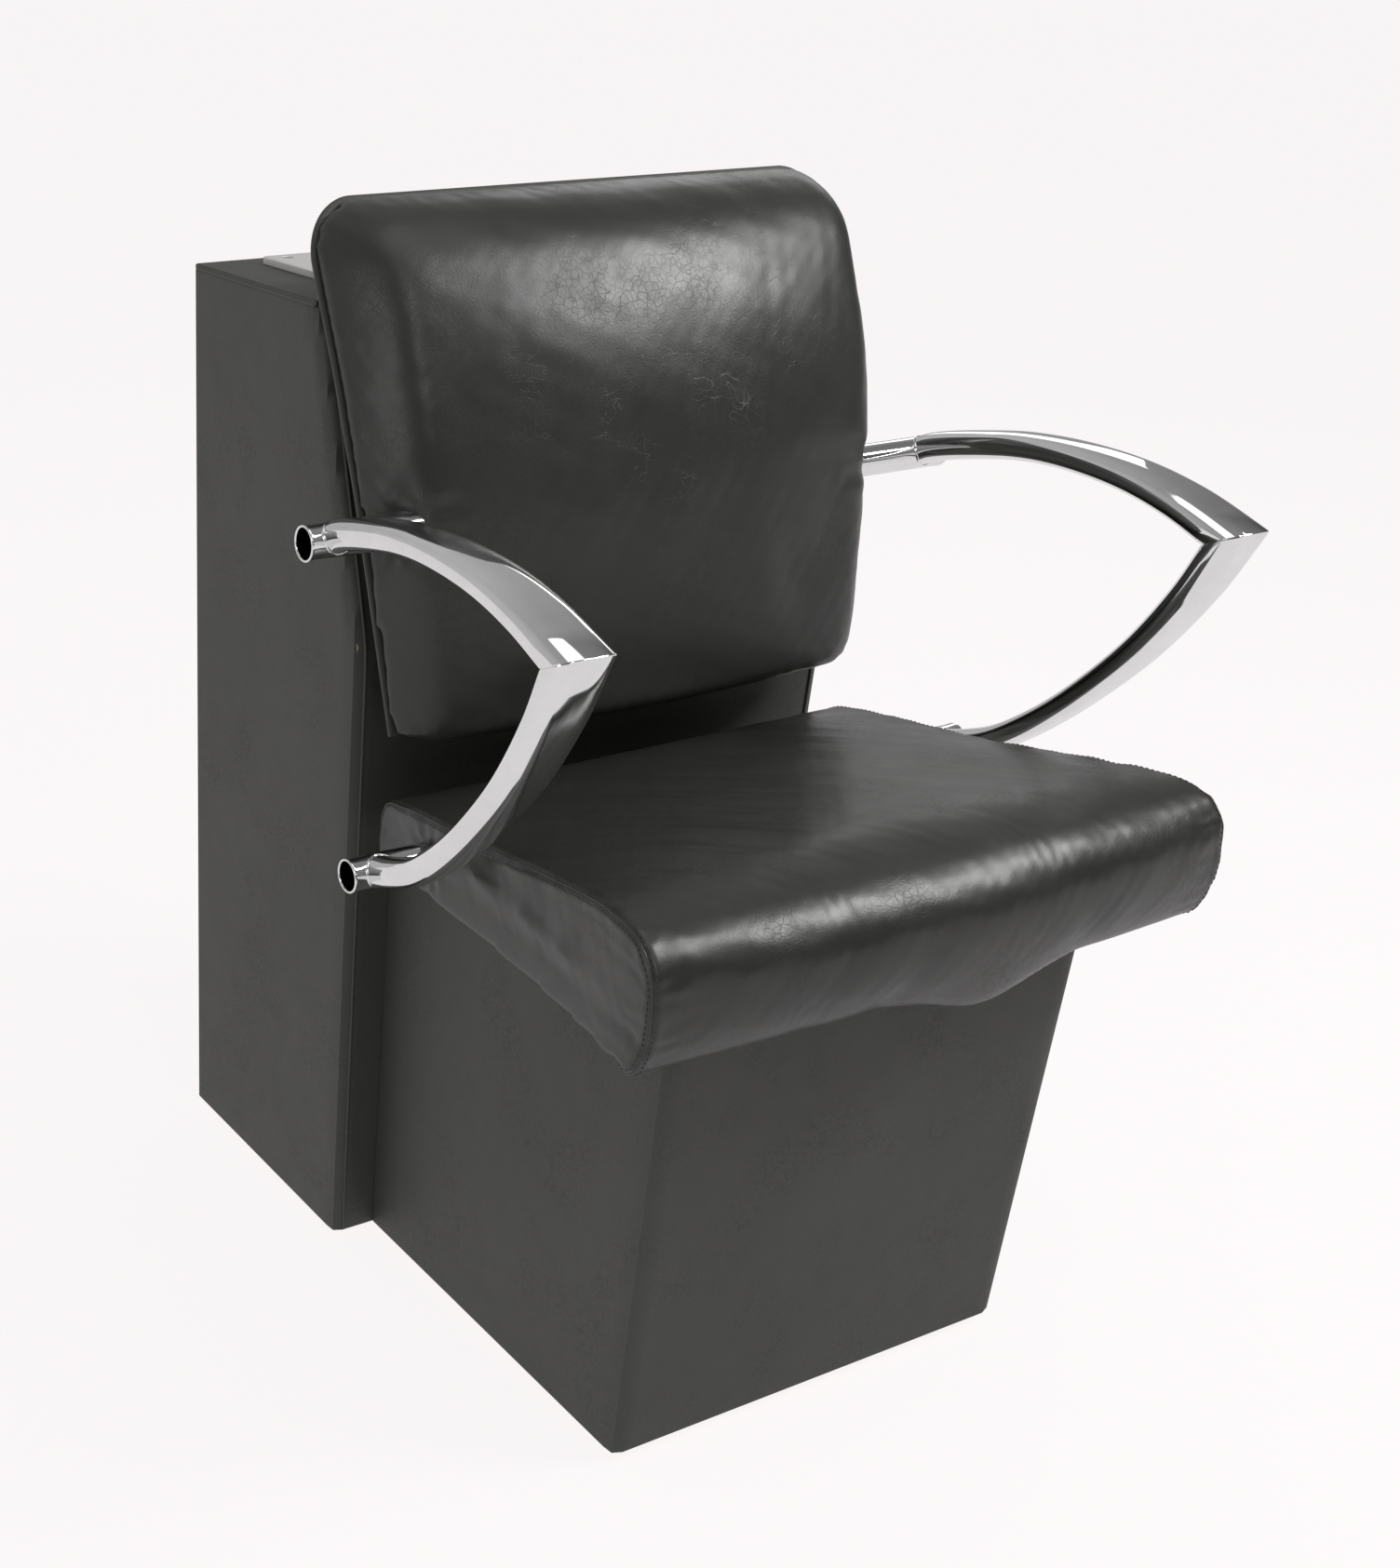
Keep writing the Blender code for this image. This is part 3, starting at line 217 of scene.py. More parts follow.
def vinyl(name, dark, light, rough, grain, crease, scratches=0.0):
    """Upholstery vinyl: pebble grain, fine creases darkened as painted shade, and a little change
    of colour and gloss.
    grain and crease scale the relief; scratches is the strength of the hairline scuffs."""
    mat = Surface(name)
    point = mat.coords()
    warp = mat.node("ShaderNodeTexNoise", {"Scale": 38.0, "Vector": point})
    warped = mat.node("ShaderNodeVectorMath",
                      {0: warp.outputs["Color"], 1: (0.010, 0.010, 0.010), 2: point},
                      operation='MULTIPLY_ADD').outputs[0]
    broad = mat.noise(point, scale=7.0, detail=3.0)
    fine = mat.noise(point, scale=55.0, detail=5.0, rough=0.6)
    pebble = mat.voronoi(warped, scale=820.0)
    pores = mat.noise(point, scale=2100.0, detail=2.0)
    wide_cells = mat.voronoi(warped, scale=150.0, feature='DISTANCE_TO_EDGE')
    small_cells = mat.voronoi(warped, scale=330.0, feature='DISTANCE_TO_EDGE')
    where = mat.remap(mat.noise(point, scale=14.0, detail=3.0), span=(0.42, 0.66))

    # creases follow the cell edges, the wider cells counting for 0.7 of the depth
    creases = mat.mul(mat.remap(wide_cells, span=(0.0, 0.10)), 0.7)
    creases = mat.add(creases, mat.mul(mat.remap(small_cells, span=(0.0, 0.12)), 0.3))
    creases = mat.add(mat.mul(mat.sub(creases, 1.0), where), 1.0)

    normal = mat.bump(pebble, strength=0.22 * grain, distance=0.00022)
    normal = mat.bump(pores, strength=0.10 * grain, distance=0.00008, under=normal)
    normal = mat.bump(creases, strength=0.34 * crease, distance=0.00055, under=normal)
    normal = mat.bump(fine, strength=0.30 * crease, distance=0.0007, under=normal)
    color = mat.mix(mat.remap(broad, span=(0.35, 0.65)), dark, light)
    # painted shade: the crease cells are darkened toward 0.45 of the dark tone
    color = mat.mix(mat.remap(creases, span=(0.2, 1.0), to=(0.35, 0.0)), color,
                    scaled(dark, 0.45))
    gloss = mat.add(rough - 0.05, mat.mul(fine, 0.10))
    gloss = mat.add(gloss, mat.remap(creases, span=(0.2, 1.0), to=(0.10, 0.0)))
    if scratches > 0:
        scuff = hairlines(mat, point, scratches)
        color = mat.mix(mat.mul(scuff, 0.5), color, (0.17, 0.17, 0.165))
        gloss = mat.add(gloss, mat.mul(scuff, 0.12))
        normal = mat.bump(mat.sub(1.0, scuff), strength=0.25, distance=0.0004, under=normal)
    return mat.finish(color, gloss, normal, IOR=1.50)


def chrome():
    mat = Surface("chrome_polished")
    point = mat.coords()
    smudge = mat.noise(point, scale=26.0, detail=5.0, rough=0.65)
    fine = mat.noise(point, scale=420.0, detail=2.0)
    color = mat.mix(mat.remap(smudge, span=(0.35, 0.7)), (0.83, 0.84, 0.84),
                    (0.76, 0.77, 0.77))
    return mat.finish(color, mat.remap(smudge, span=(0.3, 0.75), to=(0.035, 0.095)),
                      mat.bump(fine, strength=0.04, distance=0.00004), Metallic=1.0)


def brushed(name, light, dark, stretch, rough, brush):
    """Metal with fine streaks, drawn out along any axis whose stretch is small."""
    mat = Surface(name)
    streak = mat.noise(mat.coords(stretch), scale=60.0, detail=6.0, rough=0.7)
    blot = mat.noise(mat.coords(), scale=18.0, detail=4.0)
    color = mat.mix(mat.remap(streak, span=(0.3, 0.7)), light, dark)
    gloss = mat.add(mat.remap(streak, span=(0.2, 0.8), to=(rough - 0.07, rough + 0.09)),
                    mat.remap(blot, span=(0.4, 0.7), to=(0.0, 0.06)))
    return mat.finish(color, gloss, mat.bump(streak, strength=brush, distance=0.00012),
                      Metallic=1.0)


def wood(name, pale, dark, rough, plies):
    """Wood with its grain along z, with or without the stripes of plies."""
    mat = Surface(name)
    point = mat.coords((1.0, 1.0, 0.06))
    grain = mat.noise(point, scale=90.0, detail=8.0, rough=0.65, distort=0.6)
    band = mat.noise(point, scale=14.0, detail=3.0, rough=0.5, distort=1.2)
    color = mat.mix(mat.remap(grain, span=(0.3, 0.7)), pale, dark)
    color = mat.mix(mat.remap(band, span=(0.35, 0.65), to=(0.0, 0.45)), color,
                    scaled(dark, 0.7))
    if plies:
        stripes = mat.bands(90.0, {"Distortion": 0.6}, wave_type='BANDS')
        color = mat.mix(mat.mul(stripes, 0.12), color, scaled(dark, 0.5))
    gloss = mat.remap(grain, span=(0.2, 0.8), to=(rough - 0.08, rough + 0.10))
    return mat.finish(color, gloss, mat.bump(grain, strength=0.30, distance=0.0004))


def foam():
    mat = Surface("foam_cells")
    point = mat.coords()
    cell = mat.voronoi(point, scale=950.0)
    broad = mat.noise(point, scale=12.0, detail=3.0)
    color = mat.mix(mat.remap(broad, span=(0.35, 0.65)), (0.78, 0.71, 0.44),
                    (0.70, 0.60, 0.34))
    return mat.finish(color, 0.95, mat.bump(cell, strength=0.7, distance=0.0006),
                      **{"Sheen Weight": 0.2})


def moulded(name, color, rough):
    """Moulded rubber or plastic with a trace of dust."""
    mat = Surface(name)
    point = mat.coords()
    grain = mat.noise(point, scale=300.0, detail=3.0)
    dust = mat.noise(point, scale=40.0, detail=4.0)
    dusty = tuple(min(1.0, 2.2 * c + 0.01) for c in color)
    return mat.finish(
        mat.mix(mat.remap(dust, span=(0.45, 0.75), to=(0.0, 0.35)), color, dusty),
        mat.remap(dust, span=(0.3, 0.7), to=(rough - 0.06, rough + 0.10)),
        mat.bump(grain, strength=0.25, distance=0.0002))


def hardboard():
    """Black-faced hardboard of the rear panel."""
    mat = Surface("black_hardboard")
    point = mat.coords()
    weave = mat.voronoi(point, scale=520.0, random=0.4)
    broad = mat.noise(point, scale=25.0, detail=5.0)
    color = mat.mix(mat.remap(broad, span=(0.35, 0.7)), (0.030, 0.030, 0.029),
                    (0.046, 0.045, 0.043))
    return mat.finish(color, mat.remap(broad, span=(0.3, 0.7), to=(0.48, 0.66)),
                      mat.bump(weave, strength=0.35, distance=0.0003))


def thread():
    mat = Surface("sewing_thread")
    twist = mat.bands(900.0, wave_type='BANDS')
    # painted shade: the grooves of the twist are coloured dark and its crests light, following
    # the bump
    color = mat.mix(twist, (0.018, 0.018, 0.018), (0.045, 0.045, 0.044))
    return mat.finish(color, 0.6, mat.bump(twist, strength=0.5, distance=0.0001))


CUSHION_COLORS = dict(dark=(0.0235, 0.0245, 0.0225), light=(0.0290, 0.0300, 0.0272))
CUSHION = vinyl("vinyl_cushion", **CUSHION_COLORS, rough=0.345, grain=0.8, crease=0.42)
BACK_VINYL = vinyl("vinyl_back", **CUSHION_COLORS, rough=0.350, grain=0.8, crease=0.26,
                   scratches=1.0)
BOX_VINYL = vinyl("vinyl_box", dark=(0.041, 0.043, 0.0390), light=(0.048, 0.050, 0.0455),
                  rough=0.56, grain=1.15, crease=0.35)
SLOT_MATERIALS = {
    "cushion_vinyl": CUSHION,
    "box_vinyl": BOX_VINYL,
    "chrome": chrome(),
    "steel_plate": brushed("steel_plate_brushed", light=(0.96, 0.955, 0.94),
                           dark=(0.88, 0.875, 0.86), stretch=(0.03, 1, 1), rough=0.42,
                           brush=0.25),
    "zinc_steel": brushed("zinc_plated", light=(0.66, 0.66, 0.64), dark=(0.52, 0.52, 0.50),
                          stretch=(1, 1, 1), rough=0.36, brush=0.12),
    "plywood": wood("birch_plywood", pale=(0.60, 0.43, 0.25), dark=(0.46, 0.30, 0.16),
                    rough=0.6, plies=True),
    "hardwood": wood("hardwood_block", pale=(0.48, 0.30, 0.15), dark=(0.34, 0.19, 0.09),
                     rough=0.55, plies=False),
    "foam": foam(),
    "rubber": moulded("rubber_black", color=(0.014, 0.014, 0.014), rough=0.72),
    "glide_plastic": moulded("glide_nylon", color=(0.012, 0.012, 0.012), rough=0.50),
    "rear_board": hardboard(),
}
THREAD = thread()

for part in frame["record"]["subparts"]:
    solid = frame["nodes"][part["node"]]
    part_mat = SLOT_MATERIALS[part["material_slot"]]
    if not solid.material_slots:
        solid.data.materials.append(part_mat)
    for slot in solid.material_slots:
        slot.material = part_mat
rear_panel = frame["nodes"]["cabinet_rear_panel"]
rear_panel.material_slots[0].material = SLOT_MATERIALS["rear_board"]


# ------------------------------------------------------------------ objects
def build_mesh(name, shape, shift=SHIFT, merge=False):
    """Mesh of a (vertices, faces) shape, with its normals turned outward."""
    verts, faces = shape
    mesh = bpy.data.meshes.new(name)
    mesh.from_pydata([tuple(p) for p in np.array(verts, float) + shift], [], faces)
    work = bmesh.new()
    work.from_mesh(mesh)
    if merge:
        bmesh.ops.remove_doubles(work, verts=work.verts[:], dist=1e-5)
    bmesh.ops.recalc_face_normals(work, faces=work.faces[:])
    work.to_mesh(mesh)
    work.free()
    return mesh


def link_object(name, data):
    ob = bpy.data.objects.new(name, data)
    bpy.context.scene.collection.objects.link(ob)
    return ob


def smooth_shading(mesh, sharp=None):
    mesh.shade_smooth()
    if sharp:
        mesh.set_sharp_from_angle(angle=math.radians(sharp))


def add_object(name, mesh, slot, replaces=(), body=BODY, mat=None):
    """Links a finished mesh; its material is the slot's own unless mat is given."""
    mesh.materials.clear()
    mesh.materials.append(mat or SLOT_MATERIALS[slot])
    ob = link_object(name, mesh)
    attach(ob, body)
    if replaces:
        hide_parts(*replaces)
    return ob


def add_piece(name, shape, slot, replaces=(), body=BODY, mat=None, sharp=None):
    """Adds a (vertices, faces) shape; edges over sharp degrees stay hard."""
    mesh = build_mesh(name, shape)
    smooth_shading(mesh, sharp)
    return add_object(name, mesh, slot, replaces, body, mat)


def baked(ob, name):
    """The object's evaluated mesh as a plain mesh."""
    graph = bpy.context.evaluated_depsgraph_get()
    graph.update()
    mesh = bpy.data.meshes.new_from_object(ob.evaluated_get(graph))
    mesh.name = name
    return mesh


def carved(target, cutter_mesh):
    """The target's mesh with the cutter taken away from it."""
    cutter = link_object("cutter", cutter_mesh)
    cut = target.modifiers.new("cut", 'BOOLEAN')
    cut.operation = 'DIFFERENCE'
    cut.solver = 'EXACT'
    cut.object = cutter
    mesh = baked(target, target.name)
    bpy.data.objects.remove(cutter, do_unlink=True)
    return mesh


def read_verts(mesh, field="co"):
    flat = np.empty(len(mesh.vertices) * 3)
    mesh.vertices.foreach_get(field, flat)
    return flat.reshape(-1, 3)


def write_verts(mesh, co):
    mesh.vertices.foreach_set("co", np.ascontiguousarray(co, dtype=np.float64).ravel())
    mesh.update()


# ------------------------------------------------------------------ curves and fields
def unit(vectors):
    return vectors / np.linalg.norm(vectors, axis=-1, keepdims=True)


def run_lengths(points):
    steps = np.linalg.norm(np.diff(points, axis=0), axis=1)
    return np.concatenate([[0], np.cumsum(steps)])


def at_run(points, run, where):
    """The values in points at one or more distances along their run."""
    return np.stack([np.interp(where, run, points[:, k]) for k in range(points.shape[1])], -1)


def even(points, count):
    """The polyline resampled to equal steps."""
    run = run_lengths(points)
    return at_run(points, run, np.linspace(0, run[-1], count))


def spline(points, per):
    """Catmull-Rom curve through the points, with per steps to each span."""
    pts = np.array(points, float)
    pts = np.vstack([2 * pts[0] - pts[1], pts, 2 * pts[-1] - pts[-2]])
    out = []
    for i in range(1, len(pts) - 2):
        for t in np.linspace(0, 1, per, endpoint=False):
            p0, p1, p2, p3 = pts[i - 1:i + 3]
            out.append(0.5 * ((2 * p1) + (p2 - p0) * t
                              + (2 * p0 - 5 * p1 + 4 * p2 - p3) * t ** 2
                              + (-p0 + 3 * p1 - 3 * p2 + p3) * t ** 3))
    out.append(pts[-2])
    return np.array(out)


def softened(where, offsets, stations, values):
    """Table look-up averaged over a window of offsets, which rounds its corners."""
    return np.mean(np.interp(np.add.outer(offsets, where), stations, values), axis=0)


def ramp(value, start, width):
    """0 at start rising to 1 at start + width; a negative width rises the other way."""
    return np.clip((value - start) / width, 0.0, 1.0)


def bell(value, width):
    return np.exp(-(value / width) ** 2)


def wobble(points, scale, seed):
    """Smooth uneven field of about -1..1 made of a few incommensurate waves."""
    x, y, z = (points[:, i] * scale for i in range(3))
    field = (np.sin(1.7 * x + 2.3 * z + seed) * np.cos(1.1 * y - 1.9 * z + 1.3 * seed)
             + 0.6 * np.sin(3.1 * y + 2.7 * x + 2.1 * seed) * np.cos(2.9 * z - 1.3 * x)
             + 0.4 * np.sin(5.3 * x - 4.1 * z + 0.7 * seed) * np.cos(4.7 * y + 1.1 * seed))
    return field / 2.0


def distance_to(points, curve):
    lookup = KDTree(len(curve))
    for i, place in enumerate(curve):
        lookup.insert(Vector(place), i)
    lookup.balance()
    return np.array([lookup.find(Vector(place))[2] for place in points])


# ------------------------------------------------------------------ shapes
def bridge(first, second):
    """Quads between two closed loops of vertex numbers."""
    count = len(first)
    return [(first[i], first[(i + 1) % count], second[(i + 1) % count], second[i])
            for i in range(count)]


def loft(rings, sides, closed=False):
    """Faces of a run of rings whose vertices are listed ring by ring."""
    loops = [range(k * sides, (k + 1) * sides) for k in range(rings)]
    faces = []
    for k in range(rings if closed else rings - 1):
        faces += bridge(loops[k], loops[(k + 1) % rings])
    return faces


def end_caps(rings, sides):
    return [tuple(range(sides)), tuple(range((rings - 1) * sides, rings * sides))[::-1]]


def tube_along(path, radius, sides=10, closed=False):
    """Round bead that follows a path; radius is one value or one for each point."""
    path = np.array(path, float)
    count = len(path)
    if closed:
        ahead = np.roll(path, -1, 0) - np.roll(path, 1, 0)
    else:
        ahead = np.gradient(path, axis=0)
    ahead = unit(ahead)
    helper = np.array((0.0, 0.0, 1.0) if abs(ahead[0, 2]) < 0.9 else (1.0, 0.0, 0.0))
    across = unit(np.cross(ahead[0], helper))
    verts = []
    for k, size in enumerate(np.broadcast_to(radius, count)):
        across = unit(across - ahead[k] * (across @ ahead[k]))
        third = np.cross(ahead[k], across)
        for q in range(sides):
            angle = 2 * math.pi * q / sides
            verts.append(path[k] + size * (math.cos(angle) * across + math.sin(angle) * third))
    faces = loft(count, sides, closed)
    if not closed:
        faces += [cap[::-1] for cap in end_caps(count, sides)]
    return verts, faces


def lathe(profile, seg):
    """Body turned about z from (radius, height) points.  A profile that starts off the
    axis is closed on itself as a ring."""
    is_ring = profile[0][0] > 1e-9
    verts, loops, faces = [], [], []
    for radius, height in profile:
        start = len(verts)
        if radius < 1e-9:
            verts.append((0.0, 0.0, height))
        else:
            verts += [(radius * math.cos(2 * math.pi * k / seg),
                       radius * math.sin(2 * math.pi * k / seg), height)
                      for k in range(seg)]
        loops.append(range(start, len(verts)))
    count = len(profile)
    for q in range(count if is_ring else count - 1):
        low, high = loops[q], loops[(q + 1) % count]
        for k in range(seg):
            j = (k + 1) % seg
            if len(low) == 1:
                faces.append((low[0], high[k], high[j]))
            elif len(high) == 1:
                faces.append((low[k], high[0], low[j]))
            else:
                faces.append((low[k], high[k], high[j], low[j]))
    return verts, faces


def rim_cells(rows, cols):
    """Grid places round the edge of a grid, in order."""
    return ([(0, j) for j in range(cols)] + [(i, cols - 1) for i in range(1, rows)]
            + [(rows - 1, j) for j in range(cols - 2, -1, -1)]
            + [(i, 0) for i in range(rows - 2, 0, -1)])


def rim_points(grid):
    return np.array([grid[i, j] for i, j in rim_cells(*grid.shape[:2])])


def shell(first, second):
    """Two grids of points on one outline, joined round the rim."""
    rows, cols = first.shape[:2]
    count = rows * cols
    faces = []
    for i in range(rows - 1):
        for j in range(cols - 1):
            a = i * cols + j
            b, c, d = a + 1, a + cols + 1, a + cols
            faces += [(a, b, c, d), (count + a, count + d, count + c, count + b)]
    rim = [i * cols + j for i, j in rim_cells(rows, cols)]
    faces += bridge(rim, [count + k for k in rim])
    return np.vstack([first.reshape(-1, 3), second.reshape(-1, 3)]), faces


def stitches(path, normals, pitch=0.0046, length=0.0034):
    """A row of short bowed threads lying along a path."""
    radius, sink = 0.00042, 0.00012
    bow = np.array((-1.6, 0.25, 0.6, 0.25, -1.6)) * radius      # rise over the surface
    taper = [radius * 0.6, radius, radius * 1.05, radius, radius * 0.6]
    run = run_lengths(path)
    verts, faces = [], []
    start = 0.0
    while start + length < run[-1]:
        where = np.linspace(start, start + length, 5)
        line = at_run(path, run, where)
        line = line + at_run(normals, run, where) * (bow - sink + radius * 0.35)[:, None]
        new_verts, new_faces = tube_along(line, taper, 6)
        offset = len(verts)
        verts += new_verts
        faces += [tuple(i + offset for i in face) for face in new_faces]
        start += pitch
    return verts, faces


# ------------------------------------------------------------------ padded pieces
VOXEL = 0.0055
DRAW_IN = 0.0030                        # how far the pad shrinks before it is blown up
SWELL = 0.0062                          # limit that the swelling levels off to
SINK = 0.0008                           # the same where the cover sinks
CLOTH_FRAMES = 20


def add_smooth(ob):
    smooth = ob.modifiers.new("smooth", 'SMOOTH')
    smooth.factor = 0.5
    smooth.iterations = 3


def remeshed(name, shape):
    ob = link_object(name + "_base", build_mesh(name + "_base", shape, merge=True))
    remesh = ob.modifiers.new("remesh", 'REMESH')
    remesh.mode = 'VOXEL'
    remesh.voxel_size = VOXEL
    remesh.adaptivity = 0.0
    add_smooth(ob)
    mesh = baked(ob, name + "_pad")
    bpy.data.objects.remove(ob, do_unlink=True)
    return mesh


def blown_up(name, mesh, hold):
    """Vertex places after the mesh is inflated as cloth; hold is 1 where it is pinned."""
    sim = link_object(name + "_sim", mesh)
    group = sim.vertex_groups.new(name="pin")
    for k in np.nonzero(hold > 0.01)[0]:
        group.add([int(k)], float(hold[k]), 'REPLACE')
    cloth = sim.modifiers.new("cloth", 'CLOTH')
    settings = cloth.settings
    settings.quality = 4
    settings.mass = 0.3
    settings.tension_stiffness = 15
    settings.compression_stiffness = 15
    settings.shear_stiffness = 5
    settings.bending_stiffness = 1.0
    settings.use_pressure = True
    settings.uniform_pressure_force = 4.0
    settings.vertex_group_mass = "pin"
    settings.effector_weights.gravity = 0.0
    cloth.collision_settings.use_collision = False
    cloth.point_cache.frame_start = 1
    cloth.point_cache.frame_end = CLOTH_FRAMES
    for step in range(1, CLOTH_FRAMES + 1):
        bpy.context.scene.frame_set(step)
    result = baked(sim, name + "_blown")
    places = read_verts(result)
    bpy.data.objects.remove(sim, do_unlink=True)
    bpy.context.scene.frame_set(1)
    bpy.data.meshes.remove(result)
    return places


def settled(mesh, rest, normals, blown):
    """Limits the cloth's move: the cover rests on foam, so it may swell but hardly sink."""
    move = blown - rest
    rise = (move * normals).sum(1)
    slide = move - normals * rise[:, None]
    rise = np.where(rise > 0, 0.65 * SWELL * np.tanh(rise / SWELL),
                    -SINK * np.tanh(-rise / SINK))
    # foam under the cover evens out most of the short folds
    ends = np.empty(len(mesh.edges) * 2, np.int32)
    mesh.edges.foreach_get("vertices", ends)
    ends = ends.reshape(-1, 2)
    count = len(rest)
    neighbours = np.maximum(np.bincount(ends.ravel(), minlength=count).astype(float), 1.0)
    soft = rise.copy()
    for _ in range(14):
        total = (np.bincount(ends[:, 0], soft[ends[:, 1]], count)
                 + np.bincount(ends[:, 1], soft[ends[:, 0]], count))
        soft = 0.4 * soft + 0.6 * total / neighbours
    rise = 0.78 * soft + 0.22 * rise
    length = np.linalg.norm(slide, axis=1)
    keep = 0.5 * SWELL * np.tanh(length / SWELL) / np.maximum(length, 1e-9)
    return rest + normals * (rise + 0.0006)[:, None] + slide * keep[:, None] * 0.35


def cushion(name, shape, pins):
    """A padded piece: remeshed, drawn in a little, blown up as cloth with its seams held,
    and smoothed.  Returns an unlinked mesh in the loaded frame."""
    mesh = remeshed(name, shape)
    rest = read_verts(mesh)
    normals = read_verts(mesh, "normal")
    hold = pins(rest - SHIFT)
    write_verts(mesh, rest - normals * (DRAW_IN * (1.0 - hold))[:, None])
    blown = blown_up(name, mesh, hold)
    write_verts(mesh, settled(mesh, rest, normals, blown))
    ob = link_object(name + "_tmp", mesh)
    ob.vertex_groups.clear()
    add_smooth(ob)
    subdivide = ob.modifiers.new("sub", 'SUBSURF')
    subdivide.levels = 1
    subdivide.render_levels = 1
    result = baked(ob, name)
    bpy.data.objects.remove(ob, do_unlink=True)
    smooth_shading(result)
    return result


def sleeve_dimple(points, axis, rim, depth, fade, folds, phase, height, at, width):
    """Offset of the cover round an arm sleeve: pressed in by depth up to the rim radius and
    fading outward, with radial folds of some height round the radius at."""
    radius = np.hypot(points[:, 1] - axis[0], points[:, 2] - axis[1])
    angle = np.arctan2(points[:, 2] - axis[1], points[:, 1] - axis[0])
    return (height * np.sin(folds * angle + phase) * bell(radius - at, width)
            - depth * np.exp(-np.clip(radius - rim, 0, None) / fade))


# ------------------------------------------------------------------ seat
# half width along the seat
SEAT_Y = (-0.360, -0.330, -0.290, -0.240, -0.160, -0.100, 0.000, 0.062)
SEAT_HALF_W = (0.2730, 0.2720, 0.2680, 0.2585, 0.2500, 0.2455, 0.2405, 0.2361)
SEAT_WINDOW = (-0.02, -0.01, 0.0, 0.01, 0.02)


def seat_line(share):
    """Points (y, z) of the seat's section at a share of its half width: up the rear,
    forward over the top and down the front roll."""
    crown = max(0.0, 1.0 - share * share)
    lobe = 0.021 * math.exp(-((share * 0.27 - 0.040) / 0.056) ** 2)    # low front lobe
    rear = SEAT_REAR
    return [(rear - 0.026, 0.4030), (rear - 0.012, 0.4033), (rear - 0.0035, 0.4090),
            (rear, 0.4240), (rear - 0.0005, 0.4400), (rear - 0.007, 0.4525),
            (rear - 0.022, 0.4580), (0.000, 0.4650 + 0.012 * crown),
            (-0.060, 0.4720 + 0.015 * crown), (-0.120, 0.4800 + 0.016 * crown),
            (-0.180, 0.4900 + 0.014 * crown), (-0.235, 0.4990 + 0.011 * crown),
            (-0.272, 0.5030 + 0.008 * crown), (-0.306 - 0.008 * crown, 0.4985 + 0.002 * crown),
            (-0.325 - 0.014 * crown, 0.4800), (-0.330 - 0.017 * crown, 0.4550),
            (-0.329 - 0.014 * crown, 0.4290 - 0.4 * lobe),
            (-0.320 - 0.010 * crown, 0.4050 - lobe),
            (-0.309 - 0.004 * crown, 0.3990 - 0.8 * lobe),
            (-0.296, 0.4015 - 0.25 * lobe), (-0.284, 0.4028)]


def seat_spine(y):
    """Points (y, z) in the middle of the seat's section, nearest to each y."""
    return np.stack([np.clip(y, -0.30, 0.03), np.full(len(y), 0.45)], 1)


def seat_ring(share, count, shrink=0.0):
    """Closed loop of the seat at a share of its half width: count points round the
    section, then the flat underside."""
    loop = even(spline(seat_line(share), 12), count)
    under = [np.linspace(loop[-1, k], loop[0, k], 26)[1:-1] for k in range(2)]
    loop = np.vstack([loop, np.stack(under, 1)])
    if shrink:
        loop = loop + (seat_spine(loop[:, 0]) - loop) * shrink
    half_w = softened(loop[:, 0], SEAT_WINDOW, SEAT_Y, SEAT_HALF_W)
    return np.stack([share * half_w, loop[:, 0], loop[:, 1]], 1)


def seat_edge(share, count):
    """The seat's loop without its underside."""
    return seat_ring(share, count)[:count]


def seat_shape():
    around = 130
    shares = np.concatenate([[-1.0], np.linspace(-0.99, 0.99, 67), [1.0]])
    rings = [seat_ring(share, around) for share in shares]
    sides = len(rings[0])
    verts = [place for ring in rings for place in ring]
    faces = loft(len(rings), sides)
    for k in (0, len(rings) - 1):
        outer = range(k * sides, (k + 1) * sides)
        for shrink in (0.25, 0.5, 0.75, 0.93):
            inner = range(len(verts), len(verts) + sides)
            verts += list(seat_ring(shares[k], around, shrink))
            faces += bridge(outer, inner)
            outer = inner
        faces.append(tuple(outer))
    return verts, faces


SEAT_SEAMS = [seat_edge(share, 400) for share in (-1.0, 1.0)]


def seam_distance(points):
    return np.minimum(distance_to(points, SEAT_SEAMS[0]), distance_to(points, SEAT_SEAMS[1]))


def seat_pins(points):
    seams = 1.0 - ramp(seam_distance(points), 0.004, 0.012)
    under = ramp(points[:, 2], 0.4100, -0.004) * (points[:, 1] > -0.290)
    return np.maximum(seams, under)


# stretch folds of the front roll: x, width, depth, tilt (x per height)
FRONT_FOLDS = ((-0.045, 0.020, 0.0016, 0.5),
               (0.118, 0.022, 0.0012, -0.4),
               (-0.120, 0.016, 0.0007, 0.3))


